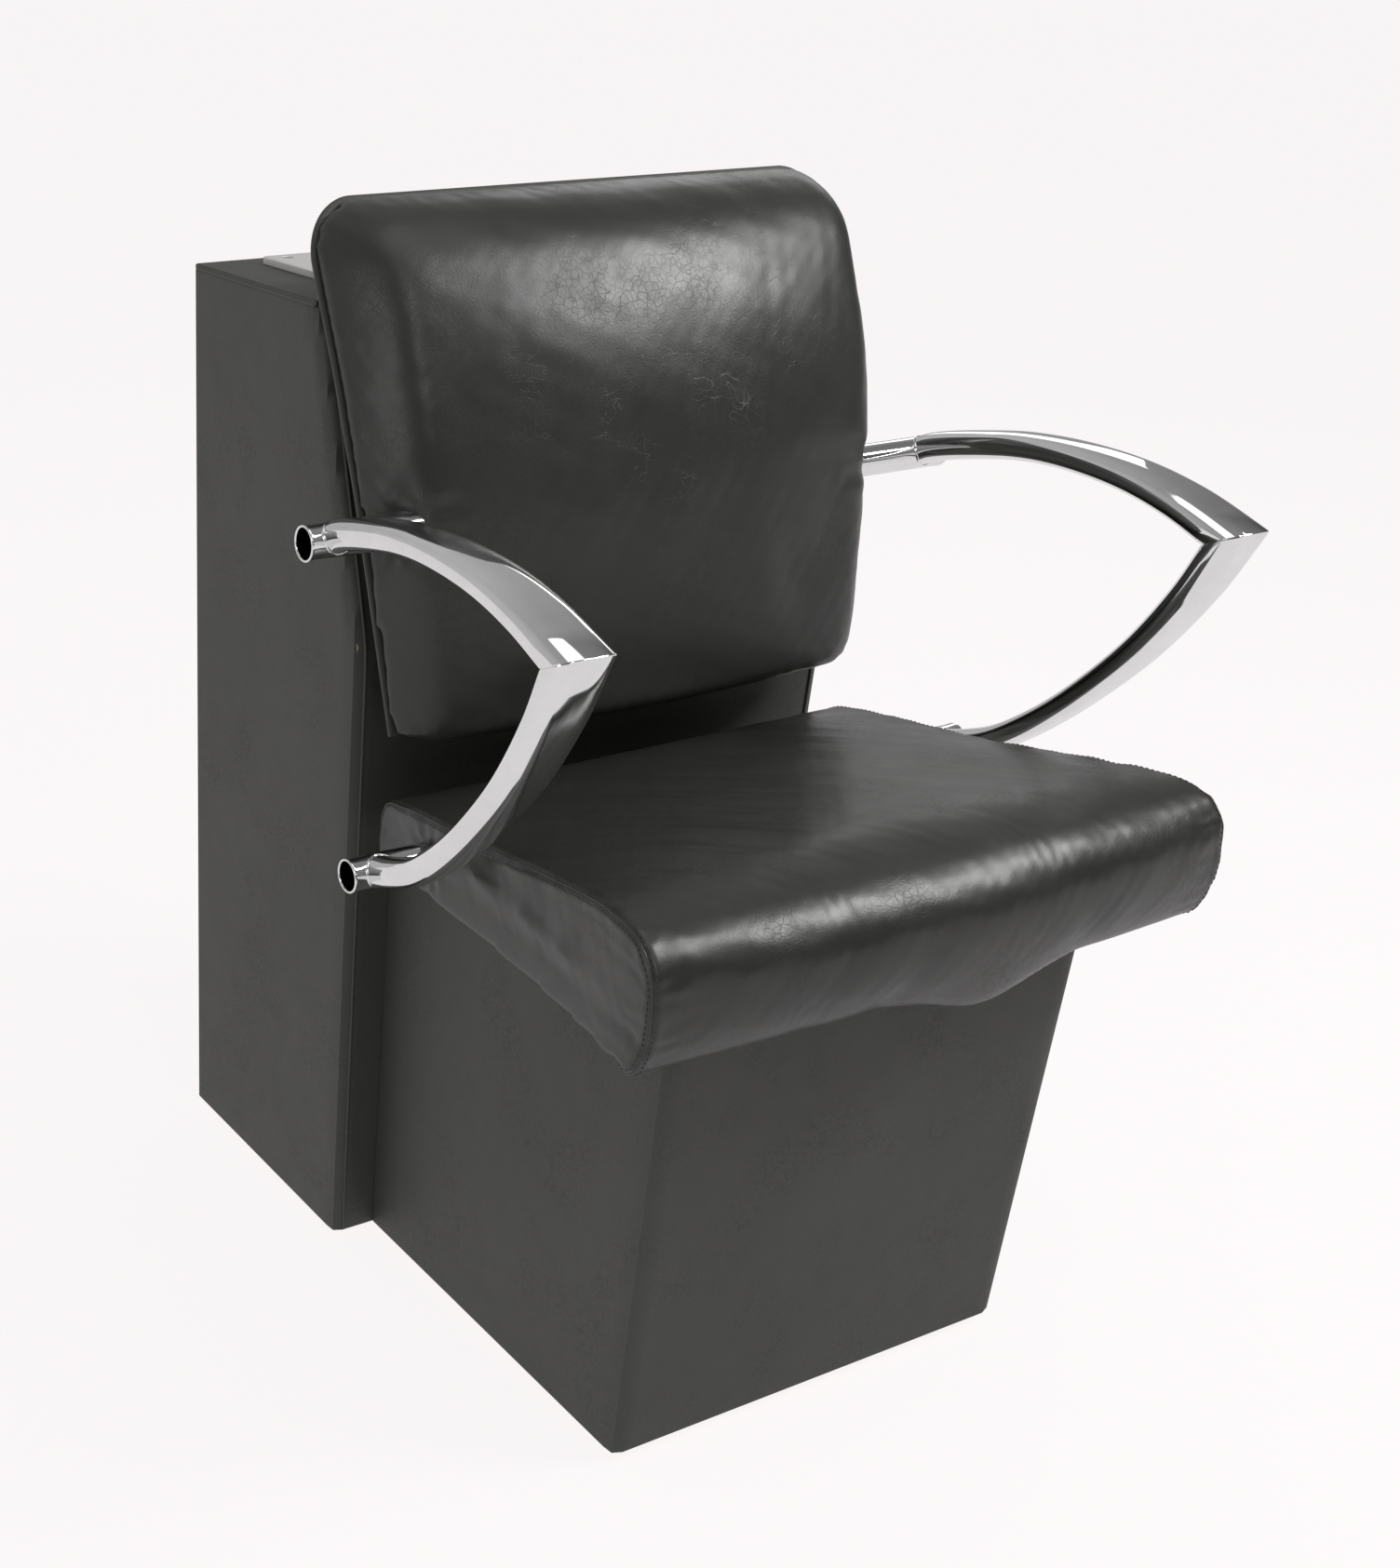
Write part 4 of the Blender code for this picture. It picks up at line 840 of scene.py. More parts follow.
def seat_relief(points):
    """Offset along the normals: sewn-in seam, small folds and sleeve dimples."""
    x, y, z = points.T
    seam = seam_distance(points)
    relief = 0.0007 * wobble(points, 22.0, 0.4) + 0.0003 * wobble(points, 70.0, 2.1)
    relief *= ramp(z, 0.412, 0.02)
    # the seam's groove and the swell beside it
    relief -= 0.0016 * bell(seam, 0.0022)
    relief += 0.0007 * bell(seam - 0.0062, 0.0034)
    # gathers that run in from the seam along the front corners
    gather = bell(seam - 0.018, 0.014) * ramp(y, -0.20, -0.10)
    relief += 0.00030 * gather * np.sin(z * 420 + 3.0 * wobble(points, 40.0, 1.0)) * (z > 0.41)
    for fold_x, width, depth, tilt in FRONT_FOLDS:
        aside = x - fold_x - tilt * (z - 0.45)
        relief -= depth * bell(aside, width) * ramp(z, 0.485, -0.03) * ramp(y, -0.29, -0.03)
    # fine lines across the top of the roll, as used vinyl has
    lines = (np.sin(x * 620 + 5.0 * wobble(points, 28.0, 0.2))
             * ramp(wobble(points, 18.0, 4.0), -0.2, 1.0))
    relief += 0.00016 * bell(y + 0.315, 0.030) * lines
    relief += (np.abs(x) > 0.215) * sleeve_dimple(
        points, LOWER_AXIS, rim=SLEEVE_R, depth=0.0024, fade=0.006,
        folds=9, phase=0.0, height=0.0005, at=0.022, width=0.008)
    return relief


def press_on_deck(co):
    """Flattens the held underside and spreads its hem at both sides."""
    x, y, z = (co - SHIFT).T
    co[:, 2] -= 0.0036 * ramp(z, 0.4220, -0.012) * ramp(y, -0.296, 0.012)
    spread = ramp(z, 0.4300, -0.020) * ramp(np.abs(x), 0.215, 0.010)
    co[:, 0] += np.sign(x) * 0.0022 * spread
    # lowest height over the deck and, a little lower, over the hem
    floor_z = np.where(np.abs(x) < 0.2065, 0.4016, 0.4002)
    co[:, 2] = np.where(y > -0.284, np.maximum(co[:, 2], floor_z), co[:, 2])


def add_seat():
    mesh = cushion("seat_cushion", seat_shape(), seat_pins)
    co = read_verts(mesh)
    co = co + read_verts(mesh, "normal") * seat_relief(co - SHIFT)[:, None]
    press_on_deck(co)
    write_verts(mesh, co)
    add_object("seat_cushion", mesh, "cushion_vinyl",
               ("seat_top_cover", "seat_left_gusset", "seat_right_gusset"))
    return mesh


def drape(path, surface, lift=0.0):
    """A path moved on to a surface, with the surface's normals."""
    places, normals = [], []
    for place in path:
        found, normal, _, _ = surface.find_nearest(Vector(place + SHIFT))
        places.append(np.array(found) - SHIFT + np.array(normal) * lift)
        normals.append(np.array(normal))
    places, normals = np.array(places), np.array(normals)
    for _ in range(2):
        for row in (places, normals):
            row[1:-1] = 0.5 * row[1:-1] + 0.25 * (row[:-2] + row[2:])
    return places, unit(normals)


def add_seat_seams(seat_mesh):
    """Along both sides a fine fold, then a row of stitches on either side of it."""
    stitch_in = 0.0046
    work = bmesh.new()
    work.from_mesh(seat_mesh)
    surface = BVHTree.FromBMesh(work)
    work.free()
    for label, side in SIDES:
        edge = seat_edge(side, 520)
        edge = edge[(edge[:, 2] > 0.4075) | (edge[:, 1] < -0.300)]
        fold, _ = drape(edge, surface, lift=0.0002)
        add_piece("seat_%s_seam_fold" % label, tube_along(fold, 0.00095, 8), "cushion_vinyl")
        on_top = edge.copy()
        on_top[:, 0] -= side * stitch_in
        on_side = edge.copy()
        on_side[:, 1:] += unit(seat_spine(edge[:, 1]) - edge[:, 1:]) * stitch_in
        on_side[:, 0] += side * 0.002
        for face, line in (("top", on_top), ("side", on_side)):
            add_piece("seat_%s_stitches_%s" % (label, face),
                      stitches(*drape(line, surface)), "cushion_vinyl", mat=THREAD)


add_seat_seams(add_seat())

# ------------------------------------------------------------------ back
# rear face of the back: y at each height
BACK_Z = (0.470, 0.515, 0.560, 0.620, 0.690, 0.767, 0.822, 0.860, 0.900)
BACK_Y = (0.0510, 0.0600, 0.0700, 0.0840, 0.1010, 0.1310, 0.1590, 0.1770, 0.1960)
BACK_WINDOW = np.linspace(-0.024, 0.024, 13)


def back_y(z):
    return float(softened(z, BACK_WINDOW, BACK_Z, BACK_Y))


def back_half_w(z):
    """Half width at a height: narrower toward the foot, round at the upper corners."""
    half_w = BACK_HALF_W - 0.015 * max(0.0, (0.74 - z) / 0.227) ** 1.3
    corner_z = BACK_HIGH - BACK_CORNER
    if z > corner_z:
        rise = min(1.0, (z - corner_z) / BACK_CORNER)
        half_w -= BACK_CORNER * (1 - math.sqrt(max(0.0, 1 - rise * rise)))
    return half_w


def padding_across(share):
    """Relative padding at a share of the half width: a flat crown and a steep edge slope,
    blended with a soft minimum."""
    share = abs(share)
    crown = 1.0 - 0.21 * (share / 0.86) ** 2
    slope = 0.82 * (max(0.0, 1.0 - share) / 0.14) ** 0.72
    blend = 0.075
    rounding = blend * math.log(1 + math.exp(-abs(crown - slope) / blend))
    return max(0.0, min(crown, slope) - rounding * min(1.0, slope / 0.4))


def crowded_steps(rows, cols):
    """Shares 0..1 up the height and -1..1 across, crowded toward the edges."""
    return (0.5 - 0.5 * np.cos(np.linspace(0, math.pi, rows)),
            np.sin(np.linspace(-math.pi / 2, math.pi / 2, cols)))


def back_grids():
    """Front surface and plain rear of the back cushion, as grids on one outline."""
    rows, cols = 71, 61
    front, rear = np.zeros((rows, cols, 3)), np.zeros((rows, cols, 3))
    ups, acrosses = crowded_steps(rows, cols)
    for i, up in enumerate(ups):
        z = BACK_LOW + 0.001 + (BACK_HIGH - BACK_LOW - 0.002) * up
        half_w = back_half_w(z) - 0.0005
        ends = ((1 - (1 - up) ** 26) * (1 - up ** 11)) ** 0.42 if 0 < up < 1 else 0.0
        # padding hangs down at the foot and reaches up at the top
        droop = -0.45 * max(0.0, 1 - up / 0.25) + 0.10 * max(0.0, (up - 0.7) / 0.3)
        for j, share in enumerate(acrosses):
            height = (0.043 + 0.047 * up) * ends * padding_across(share)
            front[i, j] = (half_w * share, back_y(z) - PANEL_T - height, z + droop * height)
            rear[i, j] = (half_w * share, back_y(z) - PANEL_T + 0.0034, z)
    return front, rear


def back_padding(points):
    """How far each point stands forward of the back's panel."""
    return np.array([back_y(z) for z in points[:, 2]]) - PANEL_T - points[:, 1]


def back_pins(points):
    return 1.0 - ramp(back_padding(points), 0.001, 0.010)


def back_relief(points, rim):
    """Offset along the normals: soft unevenness, pulls from the rim, sleeve dimples."""
    x, _, z = points.T
    padding = back_padding(points)
    relief = ramp(padding, 0.0, 0.02) * (0.0009 * wobble(points, 15.0, 1.7)
                                         + 0.00025 * wobble(points, 60.0, 3.0))
    pull = bell(distance_to(points, rim) - 0.020, 0.016) * ramp(padding, 0.0, 0.008)
    relief += 0.00022 * pull * np.sin((x + 0.6 * z) * 330 + 4.0 * wobble(points, 25.0, 0.9))
    relief += ramp(np.abs(x), 0.180, 0.02) * sleeve_dimple(
        points, UPPER_AXIS, rim=0.0120, depth=0.0050, fade=0.009,
        folds=7, phase=0.6, height=0.0008, at=0.026, width=0.010)
    return relief


def add_back():
    front, rear = back_grids()
    mesh = cushion("back_cushion", shell(front, rear), back_pins)
    co = read_verts(mesh)
    relief = back_relief(co - SHIFT, rim_points(rear))
    write_verts(mesh, co + read_verts(mesh, "normal") * relief[:, None])
    add_object("back_cushion", mesh, "cushion_vinyl", ("back_front_cover",), mat=BACK_VINYL)


def add_outer_back():
    """Vinyl-covered panel with soft edges that closes the cushion from behind."""
    rows, cols = 81, 71
    thick, edge_r = 0.0058, 0.0036
    rear, front = np.zeros((rows, cols, 3)), np.zeros((rows, cols, 3))
    ups, acrosses = crowded_steps(rows, cols)
    for i, up in enumerate(ups):
        z = BACK_LOW + (BACK_HIGH - BACK_LOW) * up
        half_w = back_half_w(z)
        for j, share in enumerate(acrosses):
            inside = min(max(half_w, 0.02) * (1 - abs(share)), z - BACK_LOW, BACK_HIGH - z)
            drop = edge_r - math.sqrt(max(0.0, edge_r ** 2 - (edge_r - min(inside, edge_r)) ** 2))
            rear[i, j] = (half_w * share, back_y(z) - drop, z)
            front[i, j] = (half_w * share, back_y(z) - thick + 0.35 * drop, z)
    flat = rear.reshape(-1, 3)
    free = ramp(distance_to(flat, rim_points(rear)), 0.0, 0.03)
    flat[:, 1] += 0.0005 * wobble(flat, 12.0, 5.0) * free
    add_piece("back_outer_panel_wrap", shell(rear, front), "cushion_vinyl",
              ("back_outer_panel",), mat=BOX_VINYL)


def add_outer_back_stitches():
    """Close-set stitching near the panel's edge, up one side, over the top and down."""
    inset = 0.009
    left = []
    for share in np.linspace(0.0, 1.0, 220):
        z = BACK_LOW + inset + (BACK_HIGH - BACK_LOW - 2 * inset) * share
        left.append((-(back_half_w(z + 0.006) - inset), back_y(z), z))
    right = [(-x, y, z) for x, y, z in left[::-1]]
    top_z = BACK_HIGH - inset
    top = [(x, back_y(top_z), top_z)
           for x in np.linspace(left[-1][0], right[0][0], 60)[1:-1]]
    line = even(np.array(left + top + right), 900)
    rear_facing = np.tile(np.array((0.0, 0.93, -0.37)), (len(line), 1))
    add_piece("back_outer_panel_stitches",
              stitches(line, rear_facing, pitch=0.0052, length=0.0038),
              "cushion_vinyl", mat=THREAD)


add_back()
add_outer_back()
add_outer_back_stitches()


# ------------------------------------------------------------------ wrapped boxes
def cab_front(z):
    """Front of the cabinet; the knee is a soft bend, as vinyl makes it."""
    above = (z - KNEE_Z) / KNEE_SOFT
    soft = math.log1p(math.exp(-abs(above))) * 0.5
    return CAB_FRONT + LEAN * KNEE_SOFT * (max(above, 0.0) + soft)


def wrap_section(z, inset, half_w, front_at, rear):
    """Points (x, y) of a wrap at one height: forward along -x, across the front, back
    along +x."""
    step = 0.011
    wide = half_w - inset
    front = front_at(z) + inset
    corner = max(BOX_CORNER - inset, 0.0008)
    side_steps = max(2, int((rear - front) / step))
    front_steps = max(2, int(2 * wide / step))
    arc = [math.pi / 2 * k / 8 for k in range(9)]
    points = [(-wide, rear + (front + corner - rear) * k / side_steps)
              for k in range(side_steps)]
    points += [(-wide + corner - corner * math.cos(a), front + corner - corner * math.sin(a))
               for a in arc]
    points += [(-wide + corner + 2 * (wide - corner) * k / front_steps, front)
               for k in range(1, front_steps)]
    points += [(wide - corner + corner * math.sin(a), front + corner - corner * math.cos(a))
               for a in arc]
    points += [(wide, front + corner + (rear - front - corner) * k / side_steps)
               for k in range(1, side_steps + 1)]
    return np.array(points)


def add_wrapped_box(name, half_w, front_at, rear, top, seed, replaces):
    """Vinyl round three sides of a box: softly uneven faces, rounded corners, and edges
    turned in at top and bottom."""
    low, turn = BOX_BOTTOM, 0.0016
    rows = max(4, int((top - low) / 0.011))
    heights = ([low, low + 0.0006, low + turn] + list(np.linspace(low + 0.004, top - 0.004, rows))
               + [top - turn, top - 0.0006, top])
    count = len(wrap_section(low, 0.0, half_w, front_at, rear))
    outer, inner = [], []
    for z in heights:
        gap = min(z - low, top - z)
        turned_in = 0.0011 * (1 - gap / turn) ** 2 if gap < turn else 0.0
        for grid, inset in ((outer, turned_in), (inner, SKIN)):
            section = even(wrap_section(z, inset, half_w, front_at, rear), count)
            grid.append([(x, y, z) for x, y in section])
    outer, inner = np.array(outer), np.array(inner)

    flat = outer.reshape(-1, 3)
    from_side = half_w - np.abs(flat[:, 0])
    from_front = flat[:, 1] - np.array([front_at(z) for z in flat[:, 2]])
    from_edge = np.minimum.reduce([np.maximum(from_side, from_front), flat[:, 2] - low,
                                   top - flat[:, 2], rear - flat[:, 1]])
    uneven = (0.00055 * wobble(flat, 9.0, seed)
              + 0.00022 * wobble(flat, 26.0, seed + 2)) * ramp(from_edge, 0.0, 0.03)
    on_side = from_side < from_front
    flat[:, 0] += np.where(on_side, np.sign(flat[:, 0]) * uneven, 0)
    flat[:, 1] -= np.where(on_side, 0, uneven)
    add_piece(name, shell(outer, inner), "box_vinyl", replaces, sharp=50)


add_wrapped_box("cabinet_vinyl_wrap", CAB_HALF_W, cab_front, CAB_REAR, WRAP_TOP, seed=0.3,
                replaces=("cabinet_vinyl_cover",))
add_wrapped_box("base_vinyl_wrap", BASE_HALF_W, lambda z: BASE_FRONT, CAB_FRONT - BASE_GAP,
                BASE_TOP, seed=1.9, replaces=("base_vinyl_cover",))


def add_cabinet_cords():
    """Seam cords down both front edges of the cabinet and round three sides of its lid."""
    lid_r, lid_z = 0.0021, CAB_TOP - 0.0032
    lid_front = cab_front(CAB_TOP)
    for label, side in SIDES:
        path = [(side * (CAB_HALF_W - 0.0098), cab_front(z) - 0.0002, z)
                for z in np.linspace(BOX_BOTTOM + 0.003, WRAP_TOP - 0.001, 160)]
        add_piece("cabinet_%s_front_cord" % label, tube_along(path, 0.0014), "box_vinyl")
        path = [(side * (CAB_HALF_W - 0.0016), y, lid_z)
                for y in np.linspace(lid_front + 0.003, CAB_REAR - 0.001, 90)]
        add_piece("cabinet_top_%s_cord" % label, tube_along(path, lid_r, 12), "box_vinyl")
    path = [(x, lid_front + 0.0018, lid_z)
            for x in np.linspace(-CAB_HALF_W + 0.003, CAB_HALF_W - 0.003, 120)]
    add_piece("cabinet_top_front_cord", tube_along(path, lid_r, 12), "box_vinyl")


def add_rear_hems():
    """The wrap's rear hems, turned over the boards' edges and pressed flat."""
    inner_x, outer_x, thick = 0.2298, CAB_HALF_W - 0.0004, 0.0012
    # section (x, y); the points on its inner edge waver along the height
    section = [(inner_x, CAB_REAR - 0.0001), (outer_x, CAB_REAR - 0.0001),
               (outer_x - 0.0001, CAB_REAR + 0.0007), (outer_x - 0.0007, CAB_REAR + thick),
               (inner_x + 0.0006, CAB_REAR + thick), (inner_x, CAB_REAR + 0.0007)]
    wavering = (0, 4, 5)
    heights = np.linspace(BOX_BOTTOM + 0.0005, WRAP_TOP - 0.0002, 140)
    size = (len(heights), len(section))
    for label, side in SIDES:
        verts = []
        for z in heights:
            waver = 0.0007 * math.sin(z * 41.0 + side) + 0.0004 * math.sin(z * 97.0)
            verts += [(side * (x + (waver if k in wavering else 0.0)), y, z)
                      for k, (x, y) in enumerate(section)]
        add_piece("cabinet_%s_rear_hem" % label, (verts, loft(*size) + end_caps(*size)),
                  "box_vinyl", sharp=40)


add_cabinet_cords()
add_rear_hems()

for plate in ("cabinet_top_cover", "dryer_mount_plate"):
    bevel = frame["nodes"][plate].modifiers.new("soft_edge", 'BEVEL')
    bevel.width = 0.0006
    bevel.segments = 2
    bevel.limit_method = 'ANGLE'
    bevel.angle_limit = math.radians(30)

# ------------------------------------------------------------------ arms
# centre lines (y, z) from the sleeve forward to the mitre where both tubes meet
UPPER_LINE = [UPPER_AXIS, (0.040, 0.6800), (0.000, 0.6900), (-0.050, 0.6990),
              (-0.100, 0.7020), (-0.155, 0.6990), (-0.205, 0.6895), ARM_MITRE]
LOWER_LINE = [LOWER_AXIS, (-0.050, 0.4450), (-0.085, 0.4620), (-0.122, 0.4900),
              (-0.160, 0.5270), (-0.200, 0.5750), (-0.232, 0.6270), ARM_MITRE]
ARM_TUBES = (("upper", UPPER_LINE, LOWER_LINE), ("lower", LOWER_LINE, UPPER_LINE))
# tube section at shares of its length: half thickness, and half width along x
ARM_SHARE = (0.0, 0.12, 0.45, 0.80, 1.0)
ARM_HALF_T = (0.0122, 0.0118, 0.0104, 0.0112, 0.0126)
ARM_HALF_W = (0.0130, 0.0150, 0.0195, 0.0232, 0.0246)
ARM_WINDOW = np.linspace(-0.06, 0.06, 7)
ARM_INNER_X, ARM_SPLAY = 0.2900, 0.0077
ARM_RINGS, ARM_SIDES, SLEEVE_SIDES = 110, 72, 56


def arm_rings(line, other_line, side):
    """Rings of an arm tube; the last two are slanted to the mitre plane."""
    centres = even(spline(line, 40), 400)
    others = even(spline(other_line, 40), 400)
    run = run_lengths(centres)
    end_dir = unit(centres[-1] - centres[-30])
    tip = unit(end_dir + unit(others[-1] - others[-30]))
    mitre_normal = np.array((-tip[1], tip[0]))
    if mitre_normal @ end_dir < 0:
        mitre_normal = -mitre_normal
    stops = list(np.linspace(0.0, run[-1] - 0.0175, ARM_RINGS)) + [run[-1] - 0.0006, run[-1]]
    rings = []
    for k, stop in enumerate(stops):
        to_end = len(stops) - 1 - k
        share = stop / run[-1]
        if to_end < 2:
            ahead = end_dir
            centre = centres[-1] - end_dir * (run[-1] - stop)
        else:
            ahead = unit(at_run(centres, run, stop + 0.006) - at_run(centres, run, stop - 0.006))
            centre = at_run(centres, run, stop)
        normal = np.array((-ahead[1], ahead[0]))
        half_t = softened(share, ARM_WINDOW, ARM_SHARE, ARM_HALF_T)
        half_w = softened(share, ARM_WINDOW, ARM_SHARE, ARM_HALF_W)
        if to_end == 0:                 # the weld line is drawn in a little
            half_t, half_w = half_t - 0.0004, half_w - 0.0004
        power = 2.0 / (2.0 + 0.7 * min(1.0, share / 0.3))    # round, then squarer
        ring = []
        for q in range(ARM_SIDES):
            angle = 2 * math.pi * q / ARM_SIDES
            cosine, sine = math.cos(angle), math.sin(angle)
            out_x = half_w * math.copysign(abs(sine) ** power, sine)
            place = centre + normal * (half_t * math.copysign(abs(cosine) ** power, cosine))
            if to_end < 2:              # slide along the tube to the mitre plane
                short = -0.0007 * to_end - (place - centres[-1]) @ mitre_normal
                place = place + ahead * (short / (ahead @ mitre_normal))
            ring.append((side * (ARM_INNER_X + ARM_SPLAY * share + out_x),
                         float(place[0]), float(place[1])))
        rings.append(ring)
    return rings


def sleeve_shape(inner_x):
    """Hollow sleeve along the lathe axis, with a rolled rim at its mouth."""
    outer, bore, hole, edge = SLEEVE_R, SLEEVE_R - SLEEVE_WALL, 0.0046, 0.0008
    profile = [(hole, inner_x), (outer - edge, inner_x)]
    profile += [(outer - edge + edge * math.sin(a), inner_x + edge - edge * math.cos(a))
                for a in np.linspace(0, math.pi / 2, 5)[1:]]
    profile += [(outer, x) for x in np.linspace(inner_x + 0.004, SLEEVE_MOUTH - 0.006, 12)]
    profile += [(outer + 0.0004, SLEEVE_MOUTH - 0.0024)]
    profile += [(0.5 * (outer + bore) + 0.0003 + 0.0010 * math.cos(a),
                 SLEEVE_MOUTH - 0.0010 + 0.0010 * math.sin(a))
                for a in np.linspace(0, math.pi, 9)]
    profile += [(bore, SLEEVE_MOUTH - 0.0040), (bore, inner_x + 0.0065),
                (bore - 0.0005, inner_x + 0.0060), (hole, inner_x + 0.0060)]
    return lathe(profile, SLEEVE_SIDES)


BOLT_NUT_T, BOLT_HEAD_T = 0.0060, 0.0062


def bolt_shape(nut, head):
    """Through bolt along the lathe axis from the nut's outer face to the base of its head,
    which has a hexagon socket."""
    sides, socket_r = 48, 0.0027        # socket_r is to the flats
    verts, faces = lathe([
        (0, nut - BOLT_NUT_T), (0.0060, nut - BOLT_NUT_T), (0.0066, nut - 0.0052),
        (0.0066, nut), (0.0040, nut), (0.0040, head), (0.0072, head),
        (0.0072, head + 0.0044), (0.0069, head + 0.0054), (0.0062, head + BOLT_HEAD_T),
        (0.0046, head + 0.0065)], sides)
    rim = range(len(verts) - sides, len(verts))
    for z in (head + 0.0064, head + 0.0030):
        loop = range(len(verts), len(verts) + sides)
        for k in range(sides):
            angle = 2 * math.pi * k / sides
            from_flat = (angle + math.pi / 6) % (math.pi / 3) - math.pi / 6
            radius = socket_r / math.cos(from_flat)
            verts.append((radius * math.cos(angle), radius * math.sin(angle), z))
        faces += bridge(rim, loop)
        rim = loop
    faces.append(tuple(rim))
    return verts, faces


def on_x(shape, axis, side):
    """Turns a lathe body to lie along x through axis (y, z), pointing to the given side."""
    verts, faces = shape
    return [(side * z, axis[0] + x, axis[1] + y) for x, y, z in verts], faces


def weld_shape(rings, axis):
    """Small bead where a tube meets its sleeve."""
    rings = np.array(rings)
    outside = np.hypot(rings[:, :, 1] - axis[0], rings[:, :, 2] - axis[1]) - SLEEVE_R
    path = []
    for q in range(rings.shape[1]):
        depth = outside[:, q]
        k = next((i for i in range(1, len(rings)) if depth[i] > 0 >= depth[i - 1]), None)
        if k is None:
            path.append(rings[0, q])
        else:
            share = -depth[k - 1] / (depth[k] - depth[k - 1])
            path.append(rings[k - 1, q] + (rings[k, q] - rings[k - 1, q]) * share)
    path = np.array(path)
    for _ in range(3):
        path = 0.5 * path + 0.25 * (np.roll(path, 1, 0) + np.roll(path, -1, 0))
    return tube_along(path, 0.00125, closed=True)


def x_range(node_name):
    """Distances of a solid's inner and outer ends from the middle plane."""
    return sorted(abs(corner.x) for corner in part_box(node_name))


def add_arm_tube(name, rings, axis, side):
    """Arm tube, coped to its sleeve."""
    size = (len(rings), ARM_SIDES)
    verts = [place for ring in rings for place in ring]
    tube = add_piece(name + "_tube_polished", (verts, loft(*size) + end_caps(*size)),
                     "chrome", (name + "_tube",), sharp=35)
    radius = SLEEVE_R - 0.0007
    cope = lathe([(0, 0.20), (radius, 0.20), (radius, 0.36), (0, 0.36)], SLEEVE_SIDES)
    mesh = carved(tube, build_mesh("cope", on_x(cope, axis, side)))
    tube.modifiers.clear()
    tube.data = mesh


for label, side in SIDES:
    for level, line, other_line in ARM_TUBES:
        arm = "%s_arm_%s" % (label, level)
        axis = line[0]
        rings = arm_rings(line, other_line, side)
        add_arm_tube(arm, rings, axis, side)
        add_piece(arm + "_weld", weld_shape(rings, axis), "chrome")
        inner_x, _ = x_range(arm + "_sleeve")
        add_piece(arm + "_sleeve_polished", on_x(sleeve_shape(inner_x), axis, side),
                  "chrome", (arm + "_sleeve",), sharp=40)
        near, far = x_range(arm + "_bolt")
        bolt = bolt_shape(near + BOLT_NUT_T, far - BOLT_HEAD_T)
        add_piece(arm + "_socket_bolt", on_x(bolt, axis, side), "zinc_steel",
                  (arm + "_bolt",), sharp=35)


# ------------------------------------------------------------------ screws
PLATE_HEAD_H, PANEL_HEAD_H = 0.0027, 0.0023


def screw_mesh(radius, head_h, length, shank, flat=False):
    """Screw along z with a cross recess: shank below 0, head above.  The head is domed, or
    flat-topped if flat."""
    profile = [(0, -length), (shank * 0.35, -length + 0.0008), (shank, -length + 0.0040),
               (shank, 0.0)]
    if flat:
        profile += [(radius - 0.00025, head_h - 0.00025), (radius, head_h - 0.0001),
                    (radius - 0.0001, head_h), (radius * 0.8, head_h), (0, head_h)]
    else:
        profile += [(radius, 0.0)]
        profile += [(radius * (1 - 0.275 * (1 - math.cos(a)) ** 1.1), head_h * math.sin(a))
                    for a in np.linspace(0.15, math.pi / 2, 9)]
        profile += [(radius * 0.35, head_h * 1.01), (0, head_h * 1.01)]
    name = "pan_head_screw"
    ob = link_object(name, build_mesh(name, lathe(profile, 48), shift=0.0))

    slot_w, reach = radius * 0.16, radius * 0.56
    cross = [(slot_w, reach), (-slot_w, reach), (-slot_w, slot_w), (-reach, slot_w),
             (-reach, -slot_w), (-slot_w, -slot_w), (-slot_w, -reach), (slot_w, -reach),
             (slot_w, -slot_w), (reach, -slot_w), (reach, slot_w), (slot_w, slot_w)]
    count = len(cross)
    # the recess narrows from above the head to its floor
    verts = [(x * gain, y * gain, z)
             for gain, z in ((0.72, head_h - head_h * 0.62), (1.1, head_h + 0.002))
             for x, y in cross]
    faces = [tuple(range(count))[::-1], tuple(range(count, 2 * count))]
    faces += bridge(range(count), range(count, 2 * count))
    mesh = carved(ob, build_mesh("cross", (verts, faces), shift=0.0))
    bpy.data.objects.remove(ob, do_unlink=True)
    smooth_shading(mesh, sharp=32)
    return mesh


def add_screw(source, node_name, place, axis, turn):
    mesh = source.copy()
    pose = Vector((0, 0, 1)).rotation_difference(Vector(axis)).to_matrix().to_4x4()
    pose.translation = place
    mesh.transform(pose @ Matrix.Rotation(turn, 4, 'Z'))
    add_object(node_name + "_head", mesh, "zinc_steel", (node_name,))


plate_screw = screw_mesh(radius=0.0046, head_h=PLATE_HEAD_H, length=0.0150, shank=0.0019,
                         flat=True)
panel_screw = screw_mesh(radius=0.0042, head_h=PANEL_HEAD_H, length=0.0330, shank=0.0018)
for k in range(1, 5):
    screw = "mount_plate_screw_%d" % k
    low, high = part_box(screw)
    middle = (low + high) / 2
    add_screw(plate_screw, screw, (middle.x, middle.y, high.z - PLATE_HEAD_H),
              axis=(0, 0, 1), turn=0.7 * k)
    screw = "rear_panel_screw_%d" % k
    low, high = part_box(screw)
    middle = (low + high) / 2
    add_screw(panel_screw, screw, (middle.x, high.y - PANEL_HEAD_H, middle.z),
              axis=(0, 1, 0), turn=0.5 + 0.9 * k)


